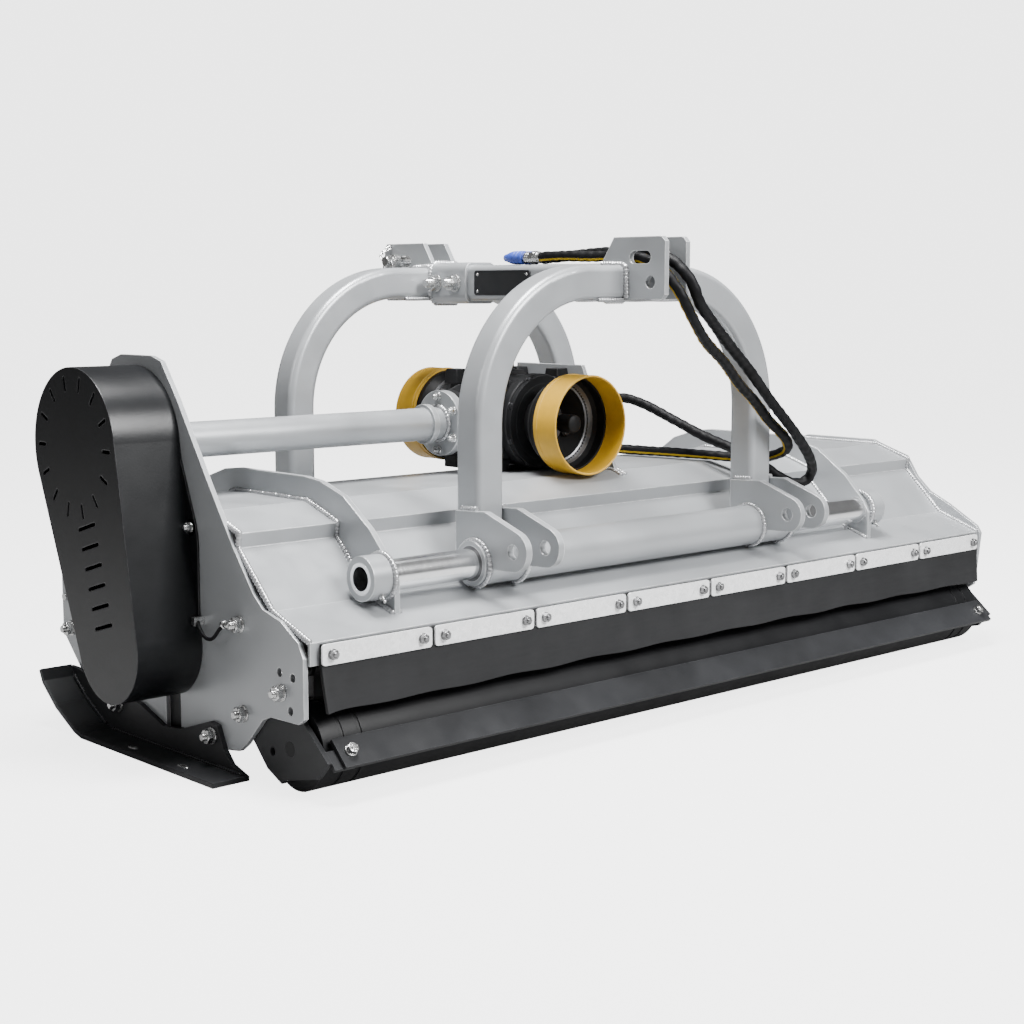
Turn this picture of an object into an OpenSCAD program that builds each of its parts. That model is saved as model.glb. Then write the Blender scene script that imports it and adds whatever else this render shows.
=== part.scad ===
// Three-point linkage flail mower with a hydraulic side-shift headstock.
// X runs along the working width, Y from the roller side to the front, Z up.
// The origin is on the ground, under the centre of the machine's outline.

/* [Deck] */
// Width of the deck between its end plates
deck_w = 2084; // [1900:4:2400]
// Half of the deck's depth, from the rotor plane to the lip
deck_half = 437; // [432:1:444]
// Height of the deck's flat top
deck_top = 485; // [480:1:490]
// Thickness of the bent deck sheet
sheet_t = 6; // [4:0.5:8]
// Height of the turned-down lip on both long edges
lip_h = 42; // [40:1:48]
// Thickness of the two end plates
end_t = 10; // [8:1:14]
// Height of the end plate on the belt side
drive_plate_h = 767; // [762:1:780]
// Height of the plain end plate
plain_plate_h = 496; // [494:1:506]
// Width of the slot that the rotor shaft drops into
shaft_slot_w = 54; // [52:1:58]

/* [Side shift] */
// Offset of the gearbox and the guide fins from the deck's middle
drive_x = -84; // [-100:1:-70]
// Clear length of the guide shafts between the fins
shaft_span = 1441; // [1430:1:1500]
// Distance of each guide shaft inside the deck's lip
shaft_in = 83; // [80:0.5:85]
// Height of the guide shafts
shaft_z = 365; // [363:0.5:370]
// Diameter of the chromed guide shafts
shaft_d = 60; // [54:1:62]
// Wall of the guide shafts
shaft_wall = 7; // [5:0.5:10]
// Thickness of the fins that carry the shafts
fin_t = 12; // [8:1:15]
// Height of the fins' crown above the deck
fin_rise = 47; // [40:1:56]
// Diameter of the bushes on the fins
bush_d = 85; // [78:1:88]
// Length of the bushes on the fins
bush_len = 50; // [40:1:60]
// Sideways offset of the headstock from the gearbox as stored
rest_shift = -40; // [-44:1:-36]

/* [Headstock] */
// Distance between the middles of the two lower hitch clevises
hitch_span = 825; // [810:1:830]
// Thickness of the clevis plates
clevis_t = 15; // [12:1:16]
// Bore for the lower hitch pins
hitch_bore = 29; // [28:0.1:30]
// Distance of the hitch bores from the guide shafts
hitch_reach = 108; // [106:1:112]
// Height of the hitch bores above the guide shafts
hitch_rise = 33; // [30:1:38]
// Radius of the clevis noses
nose_r = 39; // [36:1:40]
// Outer diameter of the sleeves that slide on the shafts
sleeve_d = 88.9; // [86:0.1:89.5]
// Length of the slide bushes in the ends of the sleeves
slide_len = 80; // [60:1:120]
// Side of the square arch tubes, which is also the gap inside a clevis
arch_tube = 70; // [66:1:72]
// Wall of the arch tubes
arch_wall = 5; // [4:0.5:8]
// Distance of the arches inside the guide shafts
arch_in = 42; // [40:0.5:44]
// Height of the arches' top tubes at their middle
arch_z = 907; // [904:1:910]
// Bend radius of the arches along the tube's middle
arch_bend = 280; // [240:2:300]
// Side of the square top beam
beam_side = 80; // [74:1:82]
// Wall of the top beam
beam_wall = 6; // [4:0.5:8]
// Clear gap between the top-link plates
link_gap = 52; // [51:1:56]
// Thickness of the top-link plates
link_t = 12; // [10:1:14]
// Bore for the top-link pin
link_bore = 26; // [25.8:0.1:27]
// Height of the top-link plates above the arches' middle
link_rise = 93; // [90:1:100]

/* [Rotor] */
// Height of the rotor axis
rotor_z = 229; // [226:1:236]
// Outer diameter of the rotor drum
drum_d = 140; // [120:1:144]
// Wall of the rotor drum
drum_wall = 10; // [6:0.5:14]
// Diameter of the rotor shaft
rotor_shaft_d = 50; // [44:1:51]
// Radius of the circle that the flail pins lie on
pin_circle = 105; // [104:0.5:108]
// Diameter of the flail pins
flail_pin_d = 18; // [14:0.5:20]
// Flails in each of the three rows
flails = 10; // [6:1:12]
// Width of a flail's cutting edge
flail_w = 116; // [90:1:130]
// Length of a flail from pin to cutting edge
flail_len = 100; // [92:1:104]

/* [Drive] */
// Distance of the cross shaft in front of the rotor plane
cross_y = 105; // [102:1:108]
// Height of the gearbox axes
drive_z = 596; // [596:1:602]
// Width of the gearbox housing
box_w = 236; // [230:2:240]
// Depth of the gearbox housing between its shield faces
box_d = 250; // [244:2:256]
// Outer diameter of the drive tube
tube_d = 72; // [66:1:78]
// Diameter of the cross shaft
cross_d = 40; // [36:1:44]
// Diameter of the power take-off stubs
pto_d = 35; // [32:0.5:38]
// Outer diameter of the power take-off shields
shield_d = 220; // [208:1:220]
// Length of the yellow shield rings
shield_ring = 69; // [60:1:76]
// Diameter of the driving pulley
drive_pulley_d = 250; // [244:1:256]
// Diameter of the rotor pulley
rotor_pulley_d = 164; // [160:1:170]
// V-belts on the pulleys
belts = 4; // [3:1:4]
// Depth of the belt guard
guard_depth = 139; // [134:1:150]
// Wall of the belt guard
guard_wall = 4; // [3:0.5:6]

/* [Ground gear] */
// Outer diameter of the rear roller
roller_d = 160; // [154:1:162]
// Distance of the roller inside the deck's lip
roller_in = 65; // [64:0.5:67]
// Wall of the roller tube
roller_wall = 6; // [4:0.5:8]
// Thickness of the roller arms
arm_t = 10; // [8:1:12]
// Width of the scraper bar
scraper_w = 60; // [56:1:60]
// Thickness of the scraper bar
scraper_t = 8; // [6:0.5:9]
// Width of the skid runners
skid_w = 79; // [60:1:90]
// Thickness of the skid plates
skid_t = 10; // [8:0.5:12]
// Height of the rubber flap
flap_h = 118; // [100:1:120]
// Thickness of the rubber flap
flap_t = 8; // [6:0.5:10]
// Clamp plates along the rubber flap
clamps = 8; // [6:1:10]

/* [Hidden] */
$fn = 64;

// Clearances, and the overrun of every cut
overrun = 2;
run_fit = 0.05;
seat_fit = 0.1;
free_gap = 0.5;
bolt_gap = 0.3;

// Places across the machine, from the rotor plane
shaft_y = deck_half - shaft_in;
arch_y = shaft_y - arch_in;
roller_y = deck_half - roller_in;

// Places along X, from the deck's middle
plate_in = deck_w / 2;
plate_out = plate_in + end_t;
head_x = drive_x + rest_shift;
fin_left = drive_x - shaft_span / 2;
fin_right = drive_x + shaft_span / 2;
clevis_half = arch_tube / 2 + clevis_t;
sleeve_lap = 12;
sleeve_half = hitch_span / 2 + clevis_half + sleeve_lap;
guard_out = plate_out + guard_depth;
skid_out = plate_out + skid_w;
centre_x = (skid_out - guard_out) / 2;

// Deck profile from the lip to the middle: the slope's foot keeps clear of the sleeves on the shaft, the step leaves
// room for the cylinder inside the arch, and the heights are shares of the deck's
lip_z_share = 0.5814;
foot_gap = 31.057;
foot_z_share = 0.664;
step_room = 55.441;
step_lean = 3.933;
step_z_share = 0.876;
step_top_share = 0.932;
flat_share = 0.284;
lip_z = deck_top * lip_z_share;
step_y = arch_y - arch_tube / 2 - step_room;
step_z = deck_top * step_z_share;
deck_side = [[-deck_half, lip_z - lip_h], [-deck_half, lip_z], [foot_gap - shaft_y, deck_top * foot_z_share],
    [step_lean - step_y, step_z], [-step_y, deck_top * step_top_share], [-deck_half * flat_share, deck_top]];

// Guide fins: an upright edge beyond the shaft with its corner cut, then shares of the reach and the crown's height
fin_lap = 38;
fin_edge = shaft_y + fin_lap;
fin_cut = 15.68;
fin_top = deck_top + fin_rise;
fin_edge_shares = [0.53, 0.68, 0.73];
fin_shares = [[0.81, 0.843], [0.605, 0.947], [0.42, 0.99], [0.29, 1], [0, 1]];

// Bolts and spare holes in the end plates
front_bolt_in = 42;
front_bolt_z = 190;
skid_reach = 408;
skid_h = 112;
skid_bolt_shares = [[-0.3676471, 0.5892857], [0.4656863, 0.5892857]];
spare_hole_shares = [[-0.819222, 0.4415323], [-0.9107551, 0.4334677], [-0.8924485, 0.3104839]];

// End plates: outlines as shares of the deck's half depth and the plate's height
drive_plate_shares = [[-0.984, 0.33], [-0.949, 0.366], [-0.834, 0.405], [-0.707, 0.424], [-0.638, 0.457],
    [-0.498, 0.557], [-0.31, 0.709], [-0.089, 0.896], [0.034, 0.987], [0.115, 1], [0.37, 1], [0.45, 0.987],
    [0.57, 0.896], [0.79, 0.709], [0.95, 0.557], [0.985, 0.45]];
plain_plate_shares = [[-1.016, 0.562], [-0.99, 0.597], [-0.8, 0.694], [-0.664, 0.75], [-0.572, 0.823],
    [-0.494, 0.927], [-0.288, 0.986], [-0.25, 1]];
plate_low_shares = [[0.985, 0.36], [0.8, 0.2], [0.52, 0.09], [-0.441, 0.09], [-0.516, 0.099],
    [-0.57, 0.133], [-0.692, 0.245], [-0.751, 0.266], [-0.946, 0.27], [-0.984, 0.293]];

// Bolts: sizes as shares of the thread
bolt_d = 16;
small_bolt_d = 10;
head_share = 1.85;
nut_share = 0.8;
stud_share = 1.3;
washer_share = 2;
washer_t = 3;

// Roller arms swing about a bolt in each end plate, and a clamp bolt runs in an arc slot
pivot_in = 130;
pivot_y = pivot_in - roller_y;
pivot_z = 123;
clamp_r = 135;
clamp_rest = 153.6;
arm_swing_low = 24;
arm_swing_high = 14;
arm_x = plate_in - free_gap;
arm_reach = 120;
arm_shares = [[0.22, 0.25], [-0.25, 0.9], [-0.75, 1.2], [-1.2, 1.1], [-1.4, 0.6], [-1.43, 0.1],
    [-2.02, -0.4], [-1.76, -0.68], [-0.91, -0.875], [-0.85, -0.94], [-0.48, -0.77], [-0.12, -0.4], [0.2, -0.1]];
arm_hole_share = [-0.63, -0.48];
roller_r = roller_d / 2;
roller_end = 6;
roller_half = arm_x - arm_t - roller_end;
roller_pin_d = 30;
groove_w = 8;
groove_in = 40;
groove_deep = 2;
scraper_tilt = 45;
scraper_gap = 4;
scraper_rise = 17;
scraper_side = 18;
scraper_half = arm_x - arm_t - scraper_side;
tab_len = 46;
tab_from_share = 0.3;
tab_to_share = 0.95;
scraper_top = [-roller_y - (roller_r + scraper_gap) * cos(scraper_rise),
    roller_r + (roller_r + scraper_gap) * sin(scraper_rise)];

// Rotor, with three rows of flails stored hanging straight down
drum_r = drum_d / 2;
drum_side = 22;
drum_half = plate_in - drum_side;
row_angles = [270, 30, 150];
row_step_share = 0.33;
flail_pitch = 2 * drum_half / (flails + 1);
lug_t = 8;
lug_gap = 34;
lug_r = 20;
lug_sink = 5;
eye_r = 17;
eye_side = 1;
shank_t = 20;
blade_t = 24;
blade_h = 35;
bearing_t = 36;
bearing_r = 76;
bearing_bolt_r = 60;
pulley_w = 70;
pulley_gap = 4;
pulley_from = plate_out + bearing_t + pulley_gap;
pulley_to = pulley_from + pulley_w;

// Pulley grooves and belts
groove_pitch = 16;
belt_w = 11;
belt_t = 9;
groove_floor = 10;
groove_side = 1;

// Gearbox
crown_teeth = 30;
pinion_teeth = 10;
gear_module = 4.4;
tooth_share = 0.22;
tooth_h = 8;
face_w = 18;
hub_r = 32;
hub_gap = 12;
cavity_r = 84;
box_r = 104;
box_wall = 24;
side_r = 76;
side_bolt_r = 60;
neck_r = 56;
flange_gap = 207;
flange_r = 73;
flange_t = 20;
flange_bolt_r = 60;
flange_bolts = 6;
collar_r = 44;
collar_t = 14;
collar_gap = 46;
tube_wall = 6;
cover_t = 12;
stand_t = 10;
stand_rise = 124;
stand_lap = 10.4;
stand_toe_share = 0.3616;
stand_toe = deck_half * stand_toe_share;
stand_heel = step_y + stand_lap;
stand_top_share = 0.13;
box_face = cross_y - box_d / 2;
box_back = cross_y + box_d / 2;
flange_x = drive_x - flange_gap;
box_left = drive_x - box_w / 2;
box_right = drive_x + box_w / 2;
stub_out = 96;
shield_wall = 4;
shield_base = 80;
shield_lap = 12;
base_r = 62;
spline_w = 9;
spline_deep = 3;
spline_count = 6;

// Guard outline: the upper arc goes round the cross shaft, the lower round the rotor
guard_room = 27;
guard_top_r = drive_pulley_d / 2 + guard_room;
guard_low_r = rotor_pulley_d / 2 + guard_room;
tab_r = 16;
tab_out = 11;
vent_w = 7;
vent_len = 30;
vent_count = 14;
vent_rows = 6;

// Side-shift cylinder, tucked under the front step of the deck
ram_out = 29;
ram_up = 15;
ram_y = step_y + ram_out;
ram_z = step_z + ram_up;
ram_r = 20;
ram_bore_r = 15;
ram_rod_r = 11;
ram_wall = 12;
ram_lug_t = 12;
ram_lug_h = 34;
ram_rod_from = -100;
ram_nut_t = 12;
barrel_from = head_x - hitch_span / 2 + arch_tube / 2;
barrel_reach = 430;
barrel_to = head_x + barrel_reach;
port_r = 14;

// Front flaps hang from a rod inside the front lip
flap_rod_in = 27;
flap_rod_y = deck_half - flap_rod_in;
flap_rod_z = lip_z - flap_rod_in;
flap_rod_r = 8;
flap_eye_r = 13;
front_flap_h = 118;
front_flap_t = 8;
front_flap_count = 12;
front_flap_gap = 6;

// Rear flap and its clamp plates
flap_side = 14;
flap_half = plate_in - flap_side;
flap_top = lip_z - 2 * sheet_t / 3;
flap_kick = 10;
clamp_pitch = 2 * flap_half / clamps;
clamp_gap = 8;
clamp_h = 38;
clamp_t = 4;
clamp_corner = 7;
clamp_bolt_in = 26;
clamp_z = flap_top - clamp_h / 2;
clamp_bolt_xs = [for (i = [0:clamps - 1], s = [-1, 1])
    -flap_half + clamp_pitch * (i + 1 / 2) + s * (clamp_pitch / 2 - clamp_bolt_in)];

// Top beam and link plates
beam_half = beam_side / 2;
beam_end = arch_y - arch_tube / 2;
tube_corner = 14;
clamp_wall = 7;
clamp_from = 150;
beam_bolt_ys = [186, 252];
beam_bolt_d = 20;
link_half = link_gap / 2 + link_t;
link_reach = 108;
link_edge = beam_end + arch_tube + link_reach;
link_top = arch_z + link_rise;
link_cut = 51;
link_nip = 10;
link_hole_in = 40;
slot_in = 69;
slot_rise = 51;
slot_len = 34;
pin_head = 42;
pin_tail = 20;
plate_name_t = 3;
plate_name_from = -60;
plate_name_to = 125;
plate_name_h = 56;

// Hose couplers lie on the beam under their dust caps
coupler_r = 13;
coupler_side = 18;
coupler_share = 0.16476;
coupler_from = -deck_half * coupler_share;
coupler_len = 62;
cap_r = 15;
cap_len = 56;
cap_tip_share = 0.55;
coupler_z = arch_z + beam_half + cap_r + bolt_gap;

// Free hoses: routes chosen by hand, from the coupler to the cylinder, for one half depth of the deck
hose_d = 24;
route_half = 437;
upper_hand = [[-106, -72, 962], [-106, -140, 966], [-110, -220, 970], [-112, -300, 971], [-113, -370, 968],
    [-114, -430, 952], [-107, -475, 912], [-78, -478, 862], [-10, -460, 816], [70, -436, 770], [155, -418, 716],
    [240, -412, 644], [330, -406, 572], [406, -388, 514], [446, -368, 476], [444, -352, 450], [412, -340, 446],
    [378, -322, 464], [354, -294, 490], [340, -258, 510], [332, -220, 524], [324, -140, 548], [316, -50, 582], [306, 40, 616],
    [296, 110, 628], [290, 170, 604], [285, 215, 560], [282, 240, 515], [282, 251, 480]];
lower_hand = [[-142, -72, 962], [-142, -140, 964], [-138, -220, 962], [-136, -300, 962], [-136, -370, 955],
    [-136, -424, 932], [-130, -464, 890], [-96, -470, 838], [-30, -450, 786], [50, -430, 742], [130, -408, 690],
    [210, -386, 648], [275, -374, 602], [338, -372, 558], [372, -352, 530], [384, -312, 512], [384, -262, 501],
    [374, -200, 498], [352, -120, 500], [330, -20, 501], [312, 70, 501], [288, 130, 503], [262, 180, 508],
    [243, 226, 512], [236, 247, 502], [236, 250, 480]];
upper_route = spread(upper_hand);
lower_route = spread(lower_hand);
grease_route = [[-1066, -116, 278], [-1068, -128, 264], [-1070, -150, 252], [-1072, -176, 256], [-1073, -200, 276],
    [-1073, -219, 288]];
grease_d = 7;
grease_y = 235;
grease_z = 288;
grease_x = 1066;

// Colours as seen
silver = [0.68, 0.69, 0.7];
anthracite = [0.12, 0.13, 0.14];
zinc = [0.78, 0.79, 0.8];
chrome = [0.82, 0.83, 0.85];
yellow = [0.82, 0.62, 0.18];
rubber = [0.2, 0.2, 0.21];
steel = [0.5, 0.51, 0.53];
blue = [0.3, 0.36, 0.75];

// Helper functions
function scaled(shares, w, h) = [for (p = shares) [p[0] * w, p[1] * h]];
function spread(route) = [for (p = route) [p[0], p[1] * deck_half / route_half, p[2]]];
function moved(line, by) = [for (p = line) p + by];
function backwards(line) = [for (i = [len(line) - 1:-1:0]) line[i]];
function flipped(line) = [for (p = backwards(line)) [-p[0], p[1]]];
function unit(v) = v / norm(v);
function turned(v) = [-v[1], v[0]];
function round_place(centre, r, a) = centre + r * [cos(a), sin(a)];
// Each corner of a line, moved so that every edge shifts sideways by the same distance
function inset(line, d) = [for (i = [0:len(line) - 1])
    let (last = len(line) - 1,
         a = unit(line[max(i, 1)] - line[max(i, 1) - 1]),
         b = unit(line[min(i, last - 1) + 1] - line[min(i, last - 1)]))
    line[i] - (turned(a) + turned(b)) * d / (1 + a * b)];
// A smooth curve through the route's points
function curve_at(p, i, t) =
    let (a = p[max(i - 1, 0)], b = p[i], c = p[i + 1], d = p[min(i + 2, len(p) - 1)])
    0.5 * (2 * b + (c - a) * t + (2 * a - 5 * b + 4 * c - d) * t * t + (3 * b - a - 3 * c + d) * t * t * t);
function curve(p, steps) = concat(
    [for (i = [0:len(p) - 2], s = [0:steps - 1]) curve_at(p, i, s / steps)], [p[len(p) - 1]]);
function tangents(c) = [for (i = [0:len(c) - 1]) unit(c[min(i + 1, len(c) - 1)] - c[max(i - 1, 0)])];
function carried(t, i, n) = i == len(t) ? [] :
    let (m = unit(n - (n * t[i]) * t[i])) concat([m], carried(t, i + 1, m));

// Lines and places that several pieces share
deck_line = concat(deck_side, flipped(deck_side));
rotor_axis = [0, rotor_z];
cross_axis = [cross_y, drive_z];
pivot = [pivot_y, pivot_z];
clamp_place = round_place(pivot, clamp_r, clamp_rest);
front_bolt = [deck_half - front_bolt_in, front_bolt_z];
skid_bolts = scaled(skid_bolt_shares, skid_reach, skid_h);
spare_holes = scaled(spare_hole_shares, deck_half, plain_plate_h);
guard_side = turned(unit(cross_axis - rotor_axis));
guard_middle = (cross_axis + rotor_axis) / 2;
guard_mid_r = (guard_top_r + guard_low_r) / 2 + tab_out;
guard_tabs = [guard_middle + guard_side * guard_mid_r, guard_middle - guard_side * guard_mid_r];
bearing_bolts = [for (a = [45, 135]) rotor_axis + bearing_bolt_r * [cos(a), sin(a)]];

// Helper shapes
module placed() {
    translate([-centre_x, 0, 0]) children();
}
module along_x(x, t) {
    translate([x, 0, 0]) rotate([90, 0, 90]) linear_extrude(t) children();
}
module along_y(y, t) {
    translate([0, y + t, 0]) rotate([90, 0, 0]) linear_extrude(t) children();
}
module rod_x(x, p, r, len) {
    translate([x, p[0], p[1]]) rotate([0, 90, 0]) cylinder(h = len, r = r);
}
module rod_y(x, y, z, r, len) {
    translate([x, y, z]) rotate([-90, 0, 0]) cylinder(h = len, r = r);
}
module pipe_x(x, p, r, bore, len) {
    difference() {
        rod_x(x, p, r, len);
        rod_x(x - overrun, p, bore, len + 2 * overrun);
    }
}
module both_sides() {
    children();
    mirror([0, 1, 0]) children();
}
module both_ends() {
    children();
    mirror([1, 0, 0]) children();
}
// A stud, washer and nut along -X: the shank runs inwards from x by len
module bolt_out(x, p, d, len) {
    translate([x, p[0], p[1]]) rotate([0, -90, 0]) {
        translate([0, 0, -len]) cylinder(h = len + washer_t + d * stud_share, d = d);
        cylinder(h = washer_t, d = d * washer_share);
        translate([0, 0, washer_t]) cylinder(h = d * nut_share, d = d * head_share, $fn = 6);
    }
}
module bolt_y(x, y, z, d, len) {
    translate([x, y, z]) rotate([90, 0, 0]) {
        translate([0, 0, -len]) cylinder(h = len, d = d);
        cylinder(h = d * nut_share, d = d * head_share, $fn = 6);
    }
}
module rounded_square(side, r) {
    square([side, side - 2 * r], center = true);
    square([side - 2 * r, side], center = true);
    for (x = [-1, 1], y = [-1, 1]) translate([x, y] * (side / 2 - r)) circle(r);
}
module rounded_plate(w, h, r) {
    square([w, h - 2 * r], center = true);
    square([w - 2 * r, h], center = true);
    for (x = [-1, 1], y = [-1, 1]) translate([x * (w / 2 - r), y * (h / 2 - r)]) circle(r);
}
module square_tube(side, wall, r) {
    difference() {
        rounded_square(side, r);
        rounded_square(side - 2 * wall, r - wall);
    }
}
// Two circles joined by straight runs, which meet the circles a little inside their tangents
run_share = 0.998;
module belt_shape(c1, r1, c2, r2) {
    d = c2 - c1;
    a = atan2(d[1], d[0]);
    b = acos((r1 - r2) * run_share / norm(d));
    translate(c1) circle(r1);
    translate(c2) circle(r2);
    polygon([round_place(c1, r1 * run_share, a + b), round_place(c2, r2 * run_share, a + b),
        round_place(c2, r2 * run_share, a - b), round_place(c1, r1 * run_share, a - b)]);
}
module slot_shape(len, r) {
    square([len, 2 * r], center = true);
    for (s = [-1, 1]) translate([s * len / 2, 0]) circle(r);
}
module holes(places, d) {
    for (p = places) translate(p) circle(d = d);
}
// A tube swept along a smooth curve through a route
module hose(route, d, steps, sides) {
    c = curve(route, steps);
    t = tangents(c);
    n = carried(t, 0, [0.2, 0.1, 1]);
    rings = len(c);
    points = [for (i = [0:rings - 1], k = [0:sides - 1])
        c[i] + d / 2 * (cos(360 * k / sides) * n[i] + sin(360 * k / sides) * cross(t[i], n[i]))];
    walls = [for (i = [0:rings - 2], k = [0:sides - 1])
        let (a = i * sides + k, b = i * sides + (k + 1) % sides) [a, a + sides, b + sides, b]];
    sheets = [for (w = walls) each [[w[0], w[1], w[2]], [w[0], w[2], w[3]]]];
    last = (rings - 1) * sides;
    caps = [for (k = [1:sides - 2]) each [[0, k, k + 1], [last, last + k + 1, last + k]]];
    polyhedron(points, concat(sheets, caps));
}

// Deck
module deck_outline() {
    polygon(concat(deck_line, [[deck_half, 0], [-deck_half, 0]]));
}
module deck_shell() {
    color(silver) placed() difference() {
        along_x(-plate_in, deck_w) polygon(concat(deck_line, backwards(inset(deck_line, sheet_t))));
        for (x = clamp_bolt_xs) rod_y(x, -deck_half - overrun, clamp_z, small_bolt_d / 2 + bolt_gap,
            sheet_t + 2 * overrun);
    }
}
module end_cuts() {
    holes(concat([pivot, clamp_place, front_bolt], skid_bolts), bolt_d + 2 * bolt_gap);
    holes(spare_holes, bolt_d);
    holes(bearing_bolts, small_bolt_d + 2 * bolt_gap);
    translate(rotor_axis) circle(d = shaft_slot_w);
    translate([-shaft_slot_w / 2, 0]) square([shaft_slot_w, rotor_z]);
    translate([flap_rod_y, flap_rod_z]) circle(r = flap_rod_r + seat_fit);
}
module drive_end_plate() {
    color(silver) placed() along_x(-plate_out, end_t) difference() {
        polygon(concat(scaled(drive_plate_shares, deck_half, drive_plate_h),
            scaled(plate_low_shares, deck_half, plain_plate_h)));
        end_cuts();
        holes(guard_tabs, small_bolt_d + 2 * bolt_gap);
        translate(cross_axis) circle(d = tube_d + 2 * seat_fit);
        translate([-grease_y, grease_z]) circle(d = bolt_d + 2 * seat_fit);
    }
}
module plain_end_plate() {
    color(silver) placed() along_x(plate_in, end_t) difference() {
        polygon(concat(scaled(plain_plate_shares, deck_half, plain_plate_h),
            flipped(scaled(plain_plate_shares, deck_half, plain_plate_h)),
            scaled(plate_low_shares, deck_half, plain_plate_h)));
        end_cuts();
    }
}

// Guide fins, bushes and shafts
module fin_shape() {
    edge = fin_top * fin_edge_shares;
    near = concat([[-fin_edge, edge[0]], [-fin_edge, edge[1]], [fin_cut - fin_edge, edge[2]]],
        scaled([for (s = fin_shares) [-s[0], s[1]]], fin_edge, fin_top));
    difference() {
        polygon(concat(near, flipped(near)));
        deck_outline();
        holes([[-shaft_y, shaft_z], [shaft_y, shaft_z]], shaft_d + 2 * seat_fit);
    }
}
module guide_fins() {
    color(silver) placed() {
        along_x(fin_left - fin_t, fin_t) fin_shape();
        along_x(fin_right, fin_t) difference() {
            fin_shape();
            translate([ram_y, ram_z]) circle(r = ram_rod_r + seat_fit);
        }
    }
}
module shaft_bushes() {
    color(silver) placed() both_sides() for (x = [fin_left - fin_t - bush_len, fin_right + fin_t])
        pipe_x(x, [shaft_y, shaft_z], bush_d / 2, shaft_d / 2 + seat_fit, bush_len);
}
module guide_shafts() {
    side = fin_t + bush_len;
    color(chrome) placed() both_sides() pipe_x(fin_left - side, [shaft_y, shaft_z], shaft_d / 2,
        shaft_d / 2 - shaft_wall, shaft_span + 2 * side);
}

// Gearbox, its stand and its shields
module side_bolts(r, count, d) {
    for (i = [0:count - 1]) translate(round_place(cross_axis, r, 360 * (i + 1 / 2) / count)) circle(d = d);
}
module gearbox_stand() {
    top_y = [box_face, box_back - box_d * stand_top_share];
    color(silver) placed() along_x(box_right, stand_t) difference() {
        polygon([[-stand_toe, step_z], [top_y[0], drive_z + stand_rise], [top_y[1], drive_z + stand_rise],
            [stand_heel, step_z]]);
        deck_outline();
        translate([ram_y, ram_z]) circle(r = ram_r + 2 * overrun);
        side_bolts(side_bolt_r, 4, small_bolt_d + 2 * bolt_gap);
    }
}
module gearbox_housing() {
    color(anthracite) placed() difference() {
        union() {
            along_x(box_left + box_wall, box_w - box_wall) translate(cross_axis) rounded_square(2 * box_r - box_wall, box_wall);
            rod_y(drive_x, box_face, drive_z, box_r, box_d);
            rod_x(box_left, cross_axis, side_r, box_w);
            rod_x(flange_x + flange_t, cross_axis, neck_r, box_left - flange_x);
            rod_x(flange_x + flange_t, cross_axis, flange_r, flange_t);
        }
        rod_y(drive_x, box_face + box_wall, drive_z, cavity_r, box_d - 2 * box_wall);
        rod_y(drive_x, box_face - overrun, drive_z, pto_d / 2 + run_fit, box_d + 2 * overrun);
        rod_x(flange_x, cross_axis, cross_d / 2 + run_fit, flange_gap);
        along_x(box_right - box_wall, box_wall + overrun) side_bolts(side_bolt_r, 4, small_bolt_d + 2 * bolt_gap);
        along_x(flange_x + flange_t - overrun, flange_t + 2 * overrun)
            side_bolts(flange_bolt_r, flange_bolts, small_bolt_d + 2 * bolt_gap);
    }
}
module gearbox_cover() {
    color(anthracite) placed() along_x(box_right + stand_t, cover_t) difference() {
        translate(cross_axis) circle(side_r);
        side_bolts(side_bolt_r, 4, small_bolt_d + 2 * bolt_gap);
    }
}
module gearbox_bolts() {
    color(zinc) placed() {
        for (i = [0:3]) mirror([1, 0, 0]) bolt_out(-box_right - stand_t - cover_t,
            round_place(cross_axis, side_bolt_r, 360 * (i + 1 / 2) / 4), small_bolt_d, stand_t + cover_t + box_wall / 2);
        for (i = [0:flange_bolts - 1]) bolt_out(flange_x,
            round_place(cross_axis, flange_bolt_r, 360 * (i + 1 / 2) / flange_bolts), small_bolt_d, 2 * flange_t);
    }
}
module at_gearbox_face() {
    translate([drive_x, cross_y, drive_z]) for (turn = [0, 180]) rotate([0, 0, turn]) rotate([90, 0, 0])
        translate([0, 0, box_d / 2]) children();
}
module shield_bases() {
    seat = shield_d / 2 - shield_wall - free_gap;
    color(anthracite) placed() at_gearbox_face() rotate_extrude() polygon([
        [pto_d / 2 + shield_lap, 0], [base_r, 0], [seat, shield_base - shield_lap], [seat, shield_base + shield_lap],
        [seat - shield_wall, shield_base + shield_lap], [seat - shield_wall, shield_base - shield_lap],
        [base_r - shield_wall, shield_wall], [pto_d / 2 + shield_lap, shield_wall]]);
}
module shield_ring_at(turn) {
    color(yellow) placed() translate([drive_x, cross_y, drive_z]) rotate([0, 0, turn]) rotate([90, 0, 0])
        translate([0, 0, box_d / 2 + shield_base]) difference() {
            cylinder(h = shield_ring, d = shield_d);
            translate([0, 0, -overrun]) cylinder(h = shield_ring + 2 * overrun, d = shield_d - 2 * shield_wall);
        }
}
module rear_pto_shield() {
    shield_ring_at(0);
}
module front_pto_shield() {
    shield_ring_at(180);
}
module drive_tube() {
    color(silver) placed() difference() {
        union() {
            rod_x(-plate_out, cross_axis, tube_d / 2, flange_x + plate_out);
            rod_x(flange_x, cross_axis, flange_r, flange_t);
            rod_x(flange_x - collar_gap, cross_axis, collar_r, collar_t);
        }
        rod_x(-plate_out - overrun, cross_axis, tube_d / 2 - tube_wall, flange_x + plate_out + flange_t + 2 * overrun);
        along_x(flange_x - overrun, flange_t + 2 * overrun)
            side_bolts(flange_bolt_r, flange_bolts, small_bolt_d + 2 * bolt_gap);
    }
}

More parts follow.
